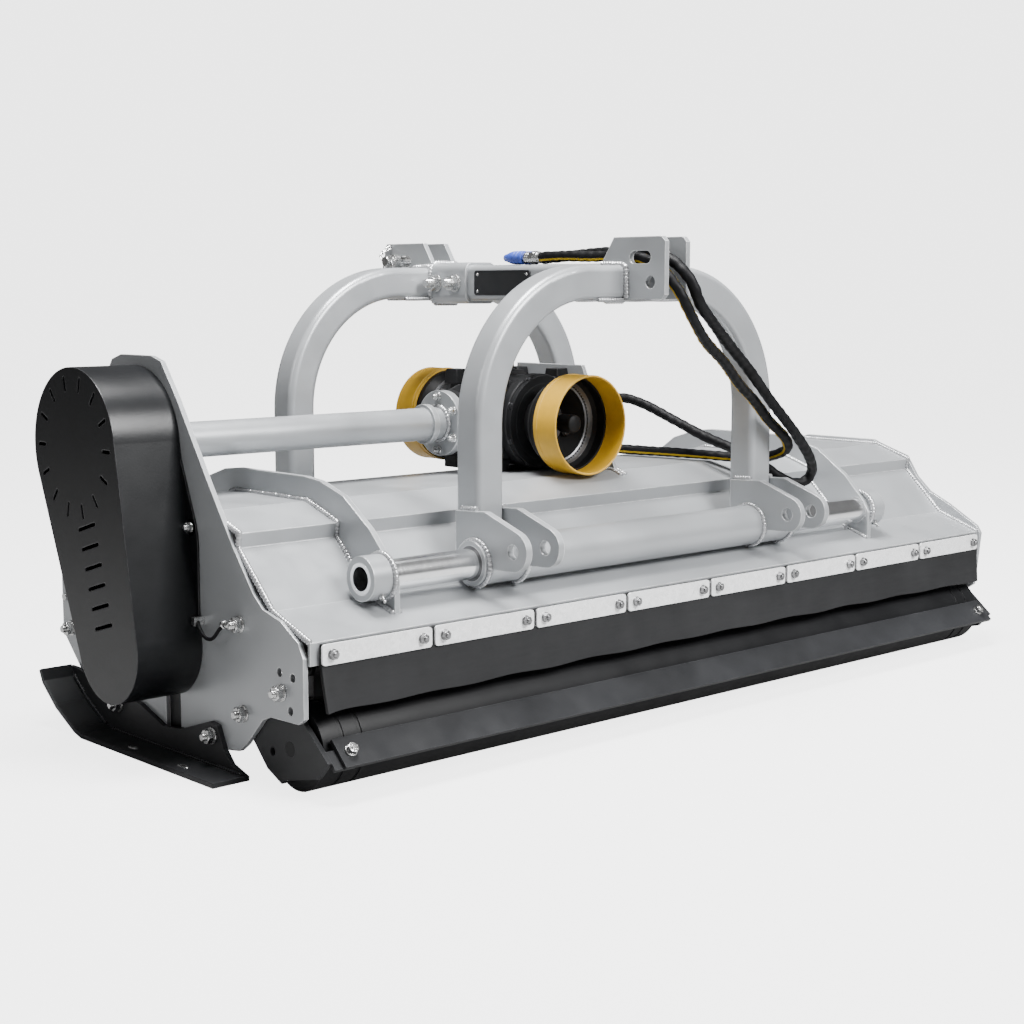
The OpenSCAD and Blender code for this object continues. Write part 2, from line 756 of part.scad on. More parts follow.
// Belt drive
module guard_shape(wall) {
    belt_shape(cross_axis, guard_top_r - wall, rotor_axis, guard_low_r - wall);
}
module guard_vents() {
    ring_r = guard_top_r - vent_len;
    for (i = [0:vent_count - 1]) translate(round_place(cross_axis, ring_r, 360 * i / vent_count))
        rotate(360 * i / vent_count) slot_shape(vent_len - vent_w, vent_w / 2);
    for (i = [1:vent_rows]) translate(cross_axis + (rotor_axis - cross_axis) * (i + 3) / (vent_rows + 4))
        rotate(atan2(guard_side[1], guard_side[0])) slot_shape(2 * vent_len, vent_w / 2);
}
module belt_guard() {
    color(anthracite) placed() {
        difference() {
            along_x(-guard_out, guard_depth) guard_shape(0);
            along_x(-guard_out + guard_wall, guard_depth) guard_shape(guard_wall);
            along_x(-guard_out - overrun, guard_wall + 2 * overrun) guard_vents();
        }
        along_x(-plate_out - guard_wall, guard_wall) difference() {
            holes(guard_tabs, 2 * tab_r);
            holes(guard_tabs, small_bolt_d + 2 * bolt_gap);
            guard_shape(guard_wall / 2);
        }
    }
}
module shaft_bearings() {
    color(steel) placed() {
        both_ends() difference() {
            pipe_x(-plate_out - bearing_t, rotor_axis, bearing_r, rotor_shaft_d / 2 + run_fit, bearing_t);
            along_x(-plate_out - bearing_t - overrun, bearing_t + 2 * overrun)
                holes(bearing_bolts, small_bolt_d + 2 * bolt_gap);
        }
        pipe_x(-plate_out - bearing_t, cross_axis, bearing_r, cross_d / 2 + run_fit, bearing_t);
    }
}
module pulley(d, bore, axis) {
    groove = belt_w + 2 * groove_side;
    first = (pulley_w - (belts - 1) * groove_pitch) / 2;
    color(steel) placed() difference() {
        pipe_x(-pulley_to, axis, d / 2, bore, pulley_w);
        for (i = [0:belts - 1])
            pipe_x(-pulley_to + first + i * groove_pitch - groove / 2, axis, d / 2 + overrun, d / 2 - groove_floor, groove);
    }
}
module drive_pulley() {
    pulley(drive_pulley_d, cross_d / 2 + seat_fit, cross_axis);
}
module rotor_pulley() {
    pulley(rotor_pulley_d, rotor_shaft_d / 2 + seat_fit, rotor_axis);
}
module belt_loop(lift) {
    belt_shape(cross_axis, drive_pulley_d / 2 - groove_floor + lift, rotor_axis, rotor_pulley_d / 2 - groove_floor + lift);
}
module drive_belts() {
    first = (pulley_w - (belts - 1) * groove_pitch) / 2;
    color(rubber) placed() for (i = [0:belts - 1])
        along_x(-pulley_to + first + i * groove_pitch - belt_w / 2, belt_w) difference() {
            belt_loop(bolt_gap + belt_t);
            belt_loop(bolt_gap);
        }
}

// Skids
skid_side_shares = [[-0.41, 0.79], [-0.35, 0.82], [-0.1, 0.52], [0.06, 0.46], [0.27, 0.72], [0.6, 0.84],
    [0.9, 1], [0.96, 1], [0.93, 0.78], [0.8, 0.4], [0.62, 0.07], [0.55, 0], [-0.63, 0], [-0.63, 0.08],
    [-0.52, 0.2], [-0.46, 0.42]];
skid_run_shares = [[-0.63, 0], [0.55, 0], [0.62, 0.07], [0.8, 0.4], [0.93, 0.78], [0.96, 1]];
module left_skid_shape() {
    run = scaled(skid_run_shares, skid_reach, skid_h);
    color(anthracite) placed() {
        along_x(-plate_out - skid_t, skid_t) difference() {
            polygon(scaled(skid_side_shares, skid_reach, skid_h));
            holes(skid_bolts, bolt_d + 2 * bolt_gap);
        }
        along_x(-skid_out, skid_w - skid_t) polygon(concat(run, backwards(inset(run, -skid_t))));
    }
}
module left_skid() {
    left_skid_shape();
}
module right_skid() {
    translate([-2 * centre_x, 0, 0]) mirror([1, 0, 0]) left_skid_shape();
}
module end_plate_bolts() {
    color(zinc) placed() {
        both_ends() {
            for (p = [pivot, clamp_place]) bolt_out(-plate_out, p, bolt_d, end_t + free_gap + arm_t);
            bolt_out(-plate_out, front_bolt, bolt_d, end_t);
            for (p = skid_bolts) bolt_out(-plate_out - skid_t, p, bolt_d, end_t + skid_t);
            for (p = bearing_bolts) {
                rod_x(-plate_out - bearing_t, p, small_bolt_d / 2, bearing_t + end_t);
                translate([-plate_in, p[0], p[1]]) rotate([0, 90, 0])
                    cylinder(h = small_bolt_d * nut_share, d = small_bolt_d * head_share, $fn = 6);
            }
        }
        for (p = guard_tabs) bolt_out(-plate_out - guard_wall, p, small_bolt_d, end_t + guard_wall);
    }
}

// Flaps
module rear_flap() {
    low = flap_top - flap_h;
    color(rubber) placed() difference() {
        along_x(-flap_half, 2 * flap_half) polygon([[-deck_half, flap_top], [-deck_half, lip_z - lip_h],
            [-deck_half - flap_kick, low], [-deck_half - flap_kick - flap_t, low],
            [-deck_half - flap_t, lip_z - lip_h], [-deck_half - flap_t, flap_top]]);
        for (x = clamp_bolt_xs) rod_y(x, -deck_half - flap_t - overrun, clamp_z, small_bolt_d / 2 + bolt_gap,
            flap_t + 2 * overrun);
    }
}
module flap_clamps() {
    color(zinc) placed() difference() {
        along_y(-deck_half - flap_t - clamp_t, clamp_t) for (i = [0:clamps - 1])
            translate([-flap_half + clamp_pitch * (i + 1 / 2), clamp_z])
                rounded_plate(clamp_pitch - clamp_gap, clamp_h, clamp_corner);
        for (x = clamp_bolt_xs) rod_y(x, -deck_half - flap_t - clamp_t - overrun, clamp_z, small_bolt_d / 2 + bolt_gap,
            clamp_t + 2 * overrun);
    }
}
module flap_bolts() {
    stack = clamp_t + flap_t + sheet_t;
    color(zinc) placed() for (x = clamp_bolt_xs)
        bolt_y(x, -deck_half - flap_t - clamp_t, clamp_z, small_bolt_d, stack);
}
module front_flap_rod() {
    color(zinc) placed() rod_x(-plate_out - flap_rod_r, [flap_rod_y, flap_rod_z], flap_rod_r, 2 * (plate_out + flap_rod_r));
}
module front_flaps() {
    pitch = 2 * flap_half / front_flap_count;
    eye = [flap_rod_y, flap_rod_z];
    color(anthracite) placed() for (i = [0:front_flap_count - 1])
        along_x(-flap_half + i * pitch + front_flap_gap / 2, pitch - front_flap_gap) difference() {
            union() {
                translate(eye) circle(flap_eye_r);
                translate(eye - [front_flap_t / 2, front_flap_h]) square([front_flap_t, front_flap_h]);
            }
            translate(eye) circle(flap_rod_r + run_fit);
        }
}

// Grease points
module grease_line() {
    color(rubber) placed() hose(grease_route, grease_d, 3, 8);
}
module grease_fittings() {
    block = grease_x - plate_out + grease_d;
    start = grease_route[0];
    color(zinc) placed() {
        bolt_out(-plate_out, [-grease_y, grease_z], bolt_d, end_t);
        translate([-plate_out - block, start[1], start[2] - grease_d]) cube([block, 4 * grease_d / 3, 2 * grease_d]);
        both_sides() for (x = [fin_left - fin_t - bush_len / 2, fin_right + fin_t + bush_len / 2])
            translate([x, -shaft_y, shaft_z]) rotate([135, 0, 0]) translate([0, 0, bush_d / 2 + seat_fit]) {
                cylinder(h = grease_d, d = 2 * grease_d, $fn = 6);
                cylinder(h = 2 * grease_d, d = grease_d);
            }
    }
}

// Side-shift cylinder
module cylinder_rod() {
    at = [ram_y, ram_z];
    color(chrome) placed() {
        rod_x(ram_rod_from, at, ram_rod_r, fin_right + fin_t + 2 * ram_nut_t - ram_rod_from);
        rod_x(ram_rod_from, at, ram_bore_r - run_fit, 2 * ram_nut_t);
        for (x = [fin_right - ram_nut_t, fin_right + fin_t]) translate([x, at[0], at[1]]) rotate([0, 90, 0])
            cylinder(h = ram_nut_t, r = 2 * ram_rod_r, $fn = 6);
    }
}
module cylinder_barrel() {
    at = [ram_y, ram_z];
    lug_y = [ram_y - ram_r / 2, beam_end + clevis_t];
    color(anthracite) placed() {
        difference() {
            rod_x(barrel_from, at, ram_r, barrel_to - barrel_from);
            rod_x(barrel_from + ram_wall, at, ram_bore_r, barrel_to - barrel_from - 2 * ram_wall);
            rod_x(barrel_to - ram_wall - overrun, at, ram_rod_r + run_fit, ram_wall + 2 * overrun);
        }
        translate([barrel_from, lug_y[0], ram_z - ram_lug_h / 2]) cube([ram_lug_t, lug_y[1] - lug_y[0], ram_lug_h]);
        for (route = [upper_route, lower_route]) let (port = route[len(route) - 1])
            translate([port[0], ram_y, ram_z]) difference() {
                cylinder(h = port[2] - ram_z, r = port_r);
                rotate([0, 90, 0]) cylinder(h = 4 * port_r, r = ram_r - overrun, center = true);
            }
    }
}

// Headstock
module arch(y) {
    leg_x = hitch_span / 2;
    leg_low = shaft_z + sleeve_d / 2 + free_gap;
    bend_z = arch_z - arch_bend;
    color(silver) placed() translate([head_x, y, 0]) both_ends() {
        translate([leg_x, 0, leg_low]) linear_extrude(bend_z - leg_low) square_tube(arch_tube, arch_wall, tube_corner);
        translate([leg_x - arch_bend, 0, bend_z]) rotate([90, 0, 0]) rotate_extrude(angle = 90)
            translate([arch_bend, 0]) square_tube(arch_tube, arch_wall, tube_corner);
        translate([0, 0, arch_z]) rotate([90, 0, 90]) linear_extrude(leg_x - arch_bend)
            square_tube(arch_tube, arch_wall, tube_corner);
    }
}
module rear_arch() {
    arch(-arch_y);
}
module front_arch() {
    arch(arch_y);
}
module guide_sleeves() {
    color(silver) placed() both_sides() pipe_x(head_x - sleeve_half, [shaft_y, shaft_z], sleeve_d / 2,
        shaft_d / 2 + arch_wall, 2 * sleeve_half);
}
module slide_bushes() {
    color(steel) placed() both_sides() for (x = [head_x - sleeve_half, head_x + sleeve_half - slide_len])
        pipe_x(x, [shaft_y, shaft_z], shaft_d / 2 + arch_wall - seat_fit, shaft_d / 2 + run_fit, slide_len);
}
clevis_back_share = 0.53;
clevis_shares = [[clevis_back_share, -0.07], [clevis_back_share, 0.907], [-0.26, 0.944]];
clevis_low_share = [-0.34, -0.07];
module clevis_shape() {
    shaft = [-shaft_y, shaft_z];
    nose = shaft + [-hitch_reach, hitch_rise];
    shoulder = moved(scaled(clevis_shares, hitch_reach, hitch_reach), shaft);
    slope = unit(nose - shoulder[2]);
    lean = atan2(slope[1], slope[0]) - asin(nose_r / norm(nose - shoulder[2]));
    difference() {
        union() {
            polygon(concat(shoulder, [round_place(nose, nose_r, lean - 90), nose, nose - [0, nose_r],
                shaft + clevis_low_share * hitch_reach]));
            translate(nose) circle(nose_r);
        }
        translate(shaft) circle(d = sleeve_d + 2 * seat_fit);
        translate(nose) circle(d = hitch_bore);
    }
}
module clevises() {
    for (c = [-1, 1], x = [-clevis_half, arch_tube / 2]) along_x(head_x + c * hitch_span / 2 + x, clevis_t) clevis_shape();
}
module rear_clevises() {
    color(silver) placed() clevises();
}
module front_clevises() {
    color(silver) placed() mirror([0, 1, 0]) clevises();
}
module top_beam() {
    color(silver) placed() difference() {
        translate([head_x, -beam_end, arch_z]) rotate([-90, 0, 0]) linear_extrude(2 * beam_end)
            square_tube(beam_side, beam_wall, tube_corner);
        for (y = beam_bolt_ys) rod_x(head_x - beam_side, [y, arch_z], beam_bolt_d / 2 + bolt_gap, 2 * beam_side);
    }
}
module beam_clamp() {
    side = beam_side + 2 * clamp_wall;
    color(silver) placed() difference() {
        translate([head_x, clamp_from, arch_z]) rotate([-90, 0, 0]) linear_extrude(beam_end - clamp_from)
            square_tube(side, clamp_wall - seat_fit, tube_corner + clamp_wall);
        for (y = beam_bolt_ys) rod_x(head_x - side, [y, arch_z], beam_bolt_d / 2 + bolt_gap, 2 * side);
    }
}
module beam_bolts() {
    half = beam_half + clamp_wall;
    color(zinc) placed() for (y = beam_bolt_ys) {
        bolt_out(head_x - half, [y, arch_z], beam_bolt_d, 2 * half);
        translate([head_x + half, y, arch_z]) rotate([0, 90, 0])
            cylinder(h = beam_bolt_d * nut_share, d = beam_bolt_d * head_share, $fn = 6);
    }
}
module link_shape() {
    low = arch_z - arch_tube / 2;
    high = arch_z + arch_tube / 2;
    face = beam_end + arch_tube;
    difference() {
        polygon([[-beam_end, high], [-beam_end, link_top - link_cut], [-beam_end - link_cut * 2 / 3, link_top],
            [-link_edge + link_nip, link_top], [-link_edge, link_top - link_nip], [-link_edge, low + link_nip],
            [-link_edge + link_nip, low], [-face, low], [-face, high]]);
        translate([-link_edge + link_hole_in, arch_z]) circle(d = link_bore);
        translate([-link_edge + slot_in, arch_z + slot_rise]) slot_shape(slot_len, link_bore / 2);
    }
}
module link_plates() {
    for (x = [-link_half, link_gap / 2]) along_x(head_x + x, link_t) link_shape();
}
module rear_link_plates() {
    color(silver) placed() link_plates();
}
module front_link_plates() {
    color(silver) placed() mirror([0, 1, 0]) link_plates();
}
module top_link_pin() {
    at = [link_edge - slot_in + slot_len / 2 - free_gap, arch_z + slot_rise];
    color(zinc) placed() {
        rod_x(head_x - link_half - pin_head, at, link_bore / 2 - free_gap, 2 * link_half + pin_head + pin_tail);
        rod_x(head_x - link_half - pin_head / 2, at, link_bore / 2 + free_gap * 8, pin_head / 2 - free_gap);
    }
}
module name_plate() {
    color(anthracite) placed()
        translate([head_x - beam_half - plate_name_t, plate_name_from, arch_z - plate_name_h / 2])
            cube([plate_name_t, plate_name_to - plate_name_from, plate_name_h]);
}
module at_couplers() {
    for (s = [-1, 1]) translate([head_x + s * coupler_side, coupler_from, coupler_z]) rotate([-90, 0, 0]) children();
}
module hose_couplers() {
    color(zinc) placed() at_couplers() {
        cylinder(h = coupler_len, r = coupler_r);
        translate([0, 0, coupler_len / 4]) cylinder(h = coupler_len / 4, r = cap_r, $fn = 6);
    }
}
module dust_caps() {
    color(blue) placed() at_couplers() translate([0, 0, coupler_len]) rotate_extrude()
        polygon([[0, 0], [cap_r, 0], [cap_r, cap_len * cap_tip_share], [cap_r * cap_tip_share, cap_len], [0, cap_len]]);
}
module upper_hose() {
    color(rubber) placed() hose(upper_route, hose_d, 2, 10);
}
module lower_hose() {
    color(rubber) placed() hose(lower_route, hose_d, 2, 10);
}

// Rotor
function row_pin(row) = round_place(rotor_axis, pin_circle, row_angles[row]);
function flail_x(row, i) = -drum_half + flail_pitch * (i + 1 / 2 + row_step_share * (row + 1 / 2));
module lug_shape(row) {
    difference() {
        translate(rotor_axis) rotate(row_angles[row]) {
            translate([drum_r - lug_sink, -lug_r]) square([pin_circle - drum_r + lug_sink, 2 * lug_r]);
            translate([pin_circle, 0]) circle(lug_r);
        }
        translate(row_pin(row)) circle(d = flail_pin_d + 2 * seat_fit);
    }
}
module rotor_drum() {
    left = pulley_to;
    right = plate_out + bearing_t;
    color(anthracite) placed() {
        difference() {
            union() {
                rod_x(-drum_half, rotor_axis, drum_r, 2 * drum_half);
                for (row = [0:2], i = [0:flails - 1], s = [-lug_gap / 2 - lug_t, lug_gap / 2])
                    along_x(flail_x(row, i) + s, lug_t) lug_shape(row);
            }
            rod_x(-drum_half + drum_side, rotor_axis, drum_r - drum_wall, 2 * (drum_half - drum_side));
        }
        rod_x(-left, rotor_axis, rotor_shaft_d / 2, left - drum_half);
        rod_x(drum_half, rotor_axis, rotor_shaft_d / 2, right - drum_half);
    }
}
module flail_pins() {
    side = lug_gap / 2 + lug_t + lug_sink;
    color(zinc) placed() for (row = [0:2], i = [0:flails - 1])
        rod_x(flail_x(row, i) - side, row_pin(row), flail_pin_d / 2, 2 * side);
}
module flail_row(row) {
    pin = row_pin(row);
    eye_w = lug_gap - 2 * eye_side;
    color(steel) placed() for (i = [0:flails - 1]) translate([flail_x(row, i), 0, 0]) {
        along_x(-eye_w / 2, eye_w) difference() {
            union() {
                translate(pin) circle(eye_r);
                translate(pin - [shank_t / 2, flail_len - blade_h]) square([shank_t, flail_len - blade_h]);
            }
            translate(pin) circle(d = flail_pin_d + 2 * run_fit);
        }
        along_x(-flail_w / 2, flail_w) translate(pin - [blade_t / 2, flail_len]) square([blade_t, blade_h]);
    }
}
module flail_row_low() {
    flail_row(0);
}
module flail_row_front() {
    flail_row(1);
}
module flail_row_rear() {
    flail_row(2);
}

// Bevel gears and their shafts: each gear is a disc with straight teeth standing on its face
module tooth_ring(teeth, r, w) {
    for (i = [0:teeth - 1]) rotate(360 * i / teeth) translate([r - w, -tooth_share * PI * gear_module / 2, 0])
        cube([w, tooth_share * PI * gear_module, tooth_h + overrun]);
}
crown_r = gear_module * crown_teeth / 2;
pinion_r = gear_module * pinion_teeth / 2;
module pto_shaft() {
    color(steel) placed() difference() {
        rod_y(drive_x, box_face - stub_out, drive_z, pto_d / 2, box_d + 2 * stub_out);
        translate([drive_x, box_face, drive_z]) for (side = [0, 1], i = [0:spline_count - 1])
            translate([0, side * box_d, 0]) rotate([90 + 180 * side, 360 * i / spline_count, 0])
                translate([pto_d / 2 - spline_deep, -spline_w / 2, shield_lap]) cube([spline_w, spline_w, stub_out]);
    }
}
module crown_wheel() {
    back = box_d / 2 - box_wall - hub_gap - pinion_r - tooth_h / 2;
    color(steel) placed() translate([drive_x, cross_y, drive_z]) rotate([90, 0, 0]) difference() {
        union() {
            translate([0, 0, pinion_r + tooth_h / 2]) cylinder(h = face_w / 2, r = crown_r);
            translate([0, 0, pinion_r + tooth_h / 2]) cylinder(h = back, r = hub_r);
            translate([0, 0, pinion_r - tooth_h / 2]) tooth_ring(crown_teeth, crown_r, face_w);
        }
        translate([0, 0, -overrun]) cylinder(h = crown_r + back, r = pto_d / 2 + seat_fit);
    }
}
module cross_shaft() {
    inner = drive_x - crown_r + face_w;
    color(steel) placed() {
        rod_x(-pulley_to, cross_axis, cross_d / 2, inner + pulley_to - face_w - overrun);
        rod_x(inner - face_w - 2 * overrun, cross_axis, pinion_r - tooth_h, face_w + 2 * overrun);
        translate([inner - face_w, cross_y, drive_z]) rotate([0, 90, 0])
            for (i = [0:pinion_teeth - 1]) rotate(360 * i / pinion_teeth)
                translate([0, -tooth_share * PI * gear_module / 2, 0])
                    cube([pinion_r - free_gap, tooth_share * PI * gear_module, face_w]);
    }
}

// Roller, its arms and the scraper
module arm_slot() {
    w = bolt_d / 2 + bolt_gap;
    from = clamp_rest - arm_swing_low;
    to = clamp_rest + arm_swing_high;
    translate(pivot) {
        intersection() {
            difference() {
                circle(clamp_r + w);
                circle(clamp_r - w);
            }
            polygon([[0, 0], round_place([0, 0], 2 * clamp_r, from), round_place([0, 0], 2 * clamp_r, to)]);
        }
        for (a = [from, to]) translate(round_place([0, 0], clamp_r, a)) circle(w);
    }
}
module at_scraper() {
    translate([0, scraper_top[0], scraper_top[1]]) rotate([scraper_tilt, 0, 0]) children();
}
module roller_arms() {
    tab_w = scraper_w * (tab_to_share - tab_from_share);
    color(anthracite) placed() both_ends() {
        along_x(-arm_x, arm_t) difference() {
            polygon(moved(scaled(arm_shares, arm_reach, arm_reach), pivot));
            translate(pivot) circle(d = bolt_d + 2 * run_fit);
            arm_slot();
            translate(pivot + arm_hole_share * arm_reach) circle(d = bolt_d);
            translate([-roller_y, roller_r]) circle(d = roller_pin_d + 2 * run_fit);
        }
        difference() {
            at_scraper() translate([-arm_x + arm_t, -scraper_w * tab_to_share, -scraper_t])
                cube([tab_len, tab_w, scraper_t]);
            at_scraper() translate([-scraper_half + clamp_bolt_in, -scraper_w / 2, -2 * scraper_t])
                cylinder(h = 3 * scraper_t, d = small_bolt_d + 2 * bolt_gap);
        }
    }
}
module scraper_bar() {
    color(anthracite) placed() difference() {
        at_scraper() translate([-scraper_half, -scraper_w, 0]) cube([2 * scraper_half, scraper_w, scraper_t]);
        both_ends() at_scraper() translate([-scraper_half + clamp_bolt_in, -scraper_w / 2, -scraper_t])
            cylinder(h = 3 * scraper_t, d = small_bolt_d + 2 * bolt_gap);
    }
}
module scraper_bolts() {
    color(zinc) placed() both_ends() at_scraper() translate([-scraper_half + clamp_bolt_in, -scraper_w / 2, scraper_t]) {
        translate([0, 0, -2 * scraper_t]) cylinder(h = 2 * scraper_t, d = small_bolt_d);
        cylinder(h = washer_t, d = small_bolt_d * washer_share);
        translate([0, 0, washer_t]) cylinder(h = small_bolt_d * nut_share, d = small_bolt_d * head_share, $fn = 6);
    }
}
module roller() {
    axis = [-roller_y, roller_r];
    color(anthracite) placed() {
        difference() {
            rod_x(-roller_half, axis, roller_r, 2 * roller_half);
            rod_x(-roller_half + groove_w, axis, roller_r - roller_wall, 2 * (roller_half - groove_w));
            both_ends() for (i = [1, 2]) pipe_x(-roller_half + i * groove_in, axis, roller_r + overrun,
                roller_r - groove_deep, groove_w);
        }
        both_ends() rod_x(-arm_x, axis, roller_pin_d / 2, arm_x - roller_half);
    }
}

deck_shell();
drive_end_plate();
plain_end_plate();
guide_fins();
shaft_bushes();
guide_shafts();
gearbox_stand();
gearbox_housing();
gearbox_cover();
gearbox_bolts();
shield_bases();
rear_pto_shield();
front_pto_shield();
drive_tube();
belt_guard();
shaft_bearings();
drive_belts();
left_skid();
right_skid();
end_plate_bolts();
rear_flap();
flap_clamps();
flap_bolts();
front_flap_rod();
grease_line();
grease_fittings();
cylinder_rod();
rear_arch();
front_arch();
guide_sleeves();
slide_bushes();
rear_clevises();
front_clevises();
top_beam();
beam_clamp();
beam_bolts();
rear_link_plates();
front_link_plates();
name_plate();
cylinder_barrel();
upper_hose();
lower_hose();
hose_couplers();
dust_caps();
top_link_pin();
rotor_drum();
flail_pins();
rotor_pulley();
flail_row_low();
flail_row_front();
flail_row_rear();
cross_shaft();
drive_pulley();
pto_shaft();
crown_wheel();
roller_arms();
scraper_bar();
scraper_bolts();
roller();
front_flaps();
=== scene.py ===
"""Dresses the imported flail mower: finishes for every solid, and the pieces that CAD leaves plain."""
import logging
import math
from dataclasses import dataclass
from enum import Enum
from typing import Sequence

import bmesh
import bpy
import numpy as np
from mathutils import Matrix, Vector


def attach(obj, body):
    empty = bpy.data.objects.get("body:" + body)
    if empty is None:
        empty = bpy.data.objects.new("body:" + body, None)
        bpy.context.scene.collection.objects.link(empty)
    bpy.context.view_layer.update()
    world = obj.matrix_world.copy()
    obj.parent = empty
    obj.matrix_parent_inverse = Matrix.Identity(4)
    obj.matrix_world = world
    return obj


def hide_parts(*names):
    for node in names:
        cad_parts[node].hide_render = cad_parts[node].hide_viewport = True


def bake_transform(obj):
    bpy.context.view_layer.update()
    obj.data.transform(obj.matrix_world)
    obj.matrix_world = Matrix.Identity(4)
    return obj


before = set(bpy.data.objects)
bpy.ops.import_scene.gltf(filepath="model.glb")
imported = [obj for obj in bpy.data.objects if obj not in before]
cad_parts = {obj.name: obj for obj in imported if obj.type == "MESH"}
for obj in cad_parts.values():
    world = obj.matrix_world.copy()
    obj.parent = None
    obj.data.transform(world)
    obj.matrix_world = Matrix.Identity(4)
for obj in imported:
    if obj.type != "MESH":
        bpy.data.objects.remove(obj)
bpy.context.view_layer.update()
LOG = logging.getLogger("mower")
Array = np.ndarray
Triple = tuple[float, float, float]
Material = bpy.types.Material
Socket = bpy.types.NodeSocket
MM = 0.001

# From the deck's middle, where part sizes are measured from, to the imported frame, in metres
SHIFT = np.array([0.03, 0.0, 0.0])

# Places in millimetres from the deck's middle: the headstock and the end plates in X, the rest in Y and Z
HEAD = -124.0
PLATE_FACE = 1052.0
BEAM_Z = 907.0
SHAFT_Y, SHAFT_Z = 354.0, 365.0
CROSS_Y, CROSS_Z = 105.0, 596.0
AXLE_Y, AXLE_Z = 0.0, 229.0

# A side direction that no hose runs along, and the one for seams that lie across the deck
UP = (0.1, 0.2, 1.0)
ALONG_X = (1, 0, 0)


class Body(str, Enum):
    """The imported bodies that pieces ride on."""

    DECK = "deck"
    HEADSTOCK = "headstock"
    LINK_PIN = "link_pin"
    PTO = "pto"
    ARMS = "arms"


# Surfaces


@dataclass
class Surface:
    """A mesh in arrays: points, faces of any size and, on a hose, a pair of texture places for each point."""

    points: Array
    faces: list
    places: Array | None = None


def joined(parts: Sequence[Surface]) -> Surface:
    """Joins many surfaces into one mesh in a single pass.

    Args:
        parts: The surfaces, in order.

    Returns:
        One surface that holds them all.
    """
    starts = np.cumsum([0] + [len(p.points) for p in parts])
    faces = [tuple(int(i + s) for i in f) for p, s in zip(parts, starts) for f in p.faces]
    return Surface(np.vstack([p.points for p in parts]), faces)


def grid_faces(rows: int, cols: int) -> list:
    """Quads of a grid of points stored row by row, whose last column joins the first.

    Args:
        rows: Points along the first parameter.
        cols: Points along the second parameter.

    Returns:
        A list of four point numbers for each quad.
    """
    i, j = np.meshgrid(np.arange(rows - 1), np.arange(cols), indexing="ij")
    k = (j + 1) % cols
    quads = np.stack([i * cols + j, i * cols + k, (i + 1) * cols + k, (i + 1) * cols + j], axis=-1)
    return [tuple(q) for q in quads.reshape(-1, 4).tolist()]


def tube_faces(rows: int, cols: int) -> list:
    """The grid's quads with one face over its first row and one over its last."""
    last = (rows - 1) * cols
    return grid_faces(rows, cols) + [tuple(reversed(range(cols))), tuple(range(last, last + cols))]


def turns(count: int) -> Array:
    """Angles evenly round a circle, the first at 0."""
    return np.linspace(0, 2 * np.pi, count, endpoint=False)


def closed_turns(count: int) -> Array:
    """Angles right round a circle that end where they start."""
    return np.linspace(0, 2 * np.pi, count)


def spots_round(count: int, radius: float, start: float) -> list:
    """Places evenly round a circle, each as two distances from its middle.

    Args:
        count: How many.
        radius: The circle's radius.
        start: The first one's angle in degrees.

    Returns:
        The pairs, in order.
    """
    turn = math.radians(start) + turns(count)
    return list(zip(radius * np.cos(turn), radius * np.sin(turn)))


def basis(axis: Sequence[float]) -> Array:
    """Three unit vectors, the last along an axis and the first two square to it.

    Args:
        axis: Any direction that isn't zero.

    Returns:
        A 3 by 3 array with one vector in each row.
    """
    w = np.array(axis, float)
    w /= np.linalg.norm(w)
    side = np.array([0.0, 0.0, 1.0]) if abs(w[2]) < 0.9 else np.array([1.0, 0.0, 0.0])
    u = np.cross(side, w)
    u /= np.linalg.norm(u)
    return np.array([u, np.cross(w, u), w])


def rim(axis: Sequence[float], count: int) -> Array:
    """Directions evenly round an axis: cosine times one side plus sine times the other."""
    u, v, _ = basis(axis)
    turn = turns(count)
    return np.cos(turn)[:, None] * u + np.sin(turn)[:, None] * v


def lathe(profile: Sequence, centre: Sequence[float], axis: Sequence[float], sides: int = 32) -> Surface:
    """A profile turned about an axis: point = centre + height along the axis + radius at each angle.

    Args:
        profile: Pairs of (height, radius) in metres, from one end to the other.
        centre: The axis point at height 0.
        axis: The direction of growing height.
        sides: Points round the axis.

    Returns:
        The turned surface, open where the profile's ends have a radius.
    """
    heights, radii = np.array(profile, float).T[:, :, None, None]
    points = np.array(centre) + heights * basis(axis)[2] + radii * rim(axis, sides)
    return Surface(points.reshape(-1, 3), grid_faces(len(heights), sides))


def turned(profile: Sequence, centre: Sequence[float], axis: Sequence[float], sides: int) -> Surface:
    """A profile in millimetres turned about an axis, as lathe does it."""
    return lathe(np.array(profile) * MM, centre, axis, sides)


def sides_along(path: Array, up: Sequence[float]) -> tuple[Array, Array]:
    """Two directions square to a path at each point, which turn as little as they can.

    Args:
        path: Points in order.
        up: The first side direction is as near to this as it can be.

    Returns:
        First sides and second sides, one row for each point.
    """
    tangents = np.gradient(path, axis=0)
    tangents /= np.linalg.norm(tangents, axis=1)[:, None]
    normal = np.array(up, float)
    normals = []
    for t in tangents:
        normal = normal - (normal @ t) * t
        normal = normal / np.linalg.norm(normal)
        normals.append(normal)
    return np.array(normals), np.cross(tangents, normals)


def run_of(path: Array) -> Array:
    """The distance along a path from its start to each of its points."""
    return np.concatenate([[0], np.cumsum(np.linalg.norm(np.diff(path, axis=0), axis=1))])


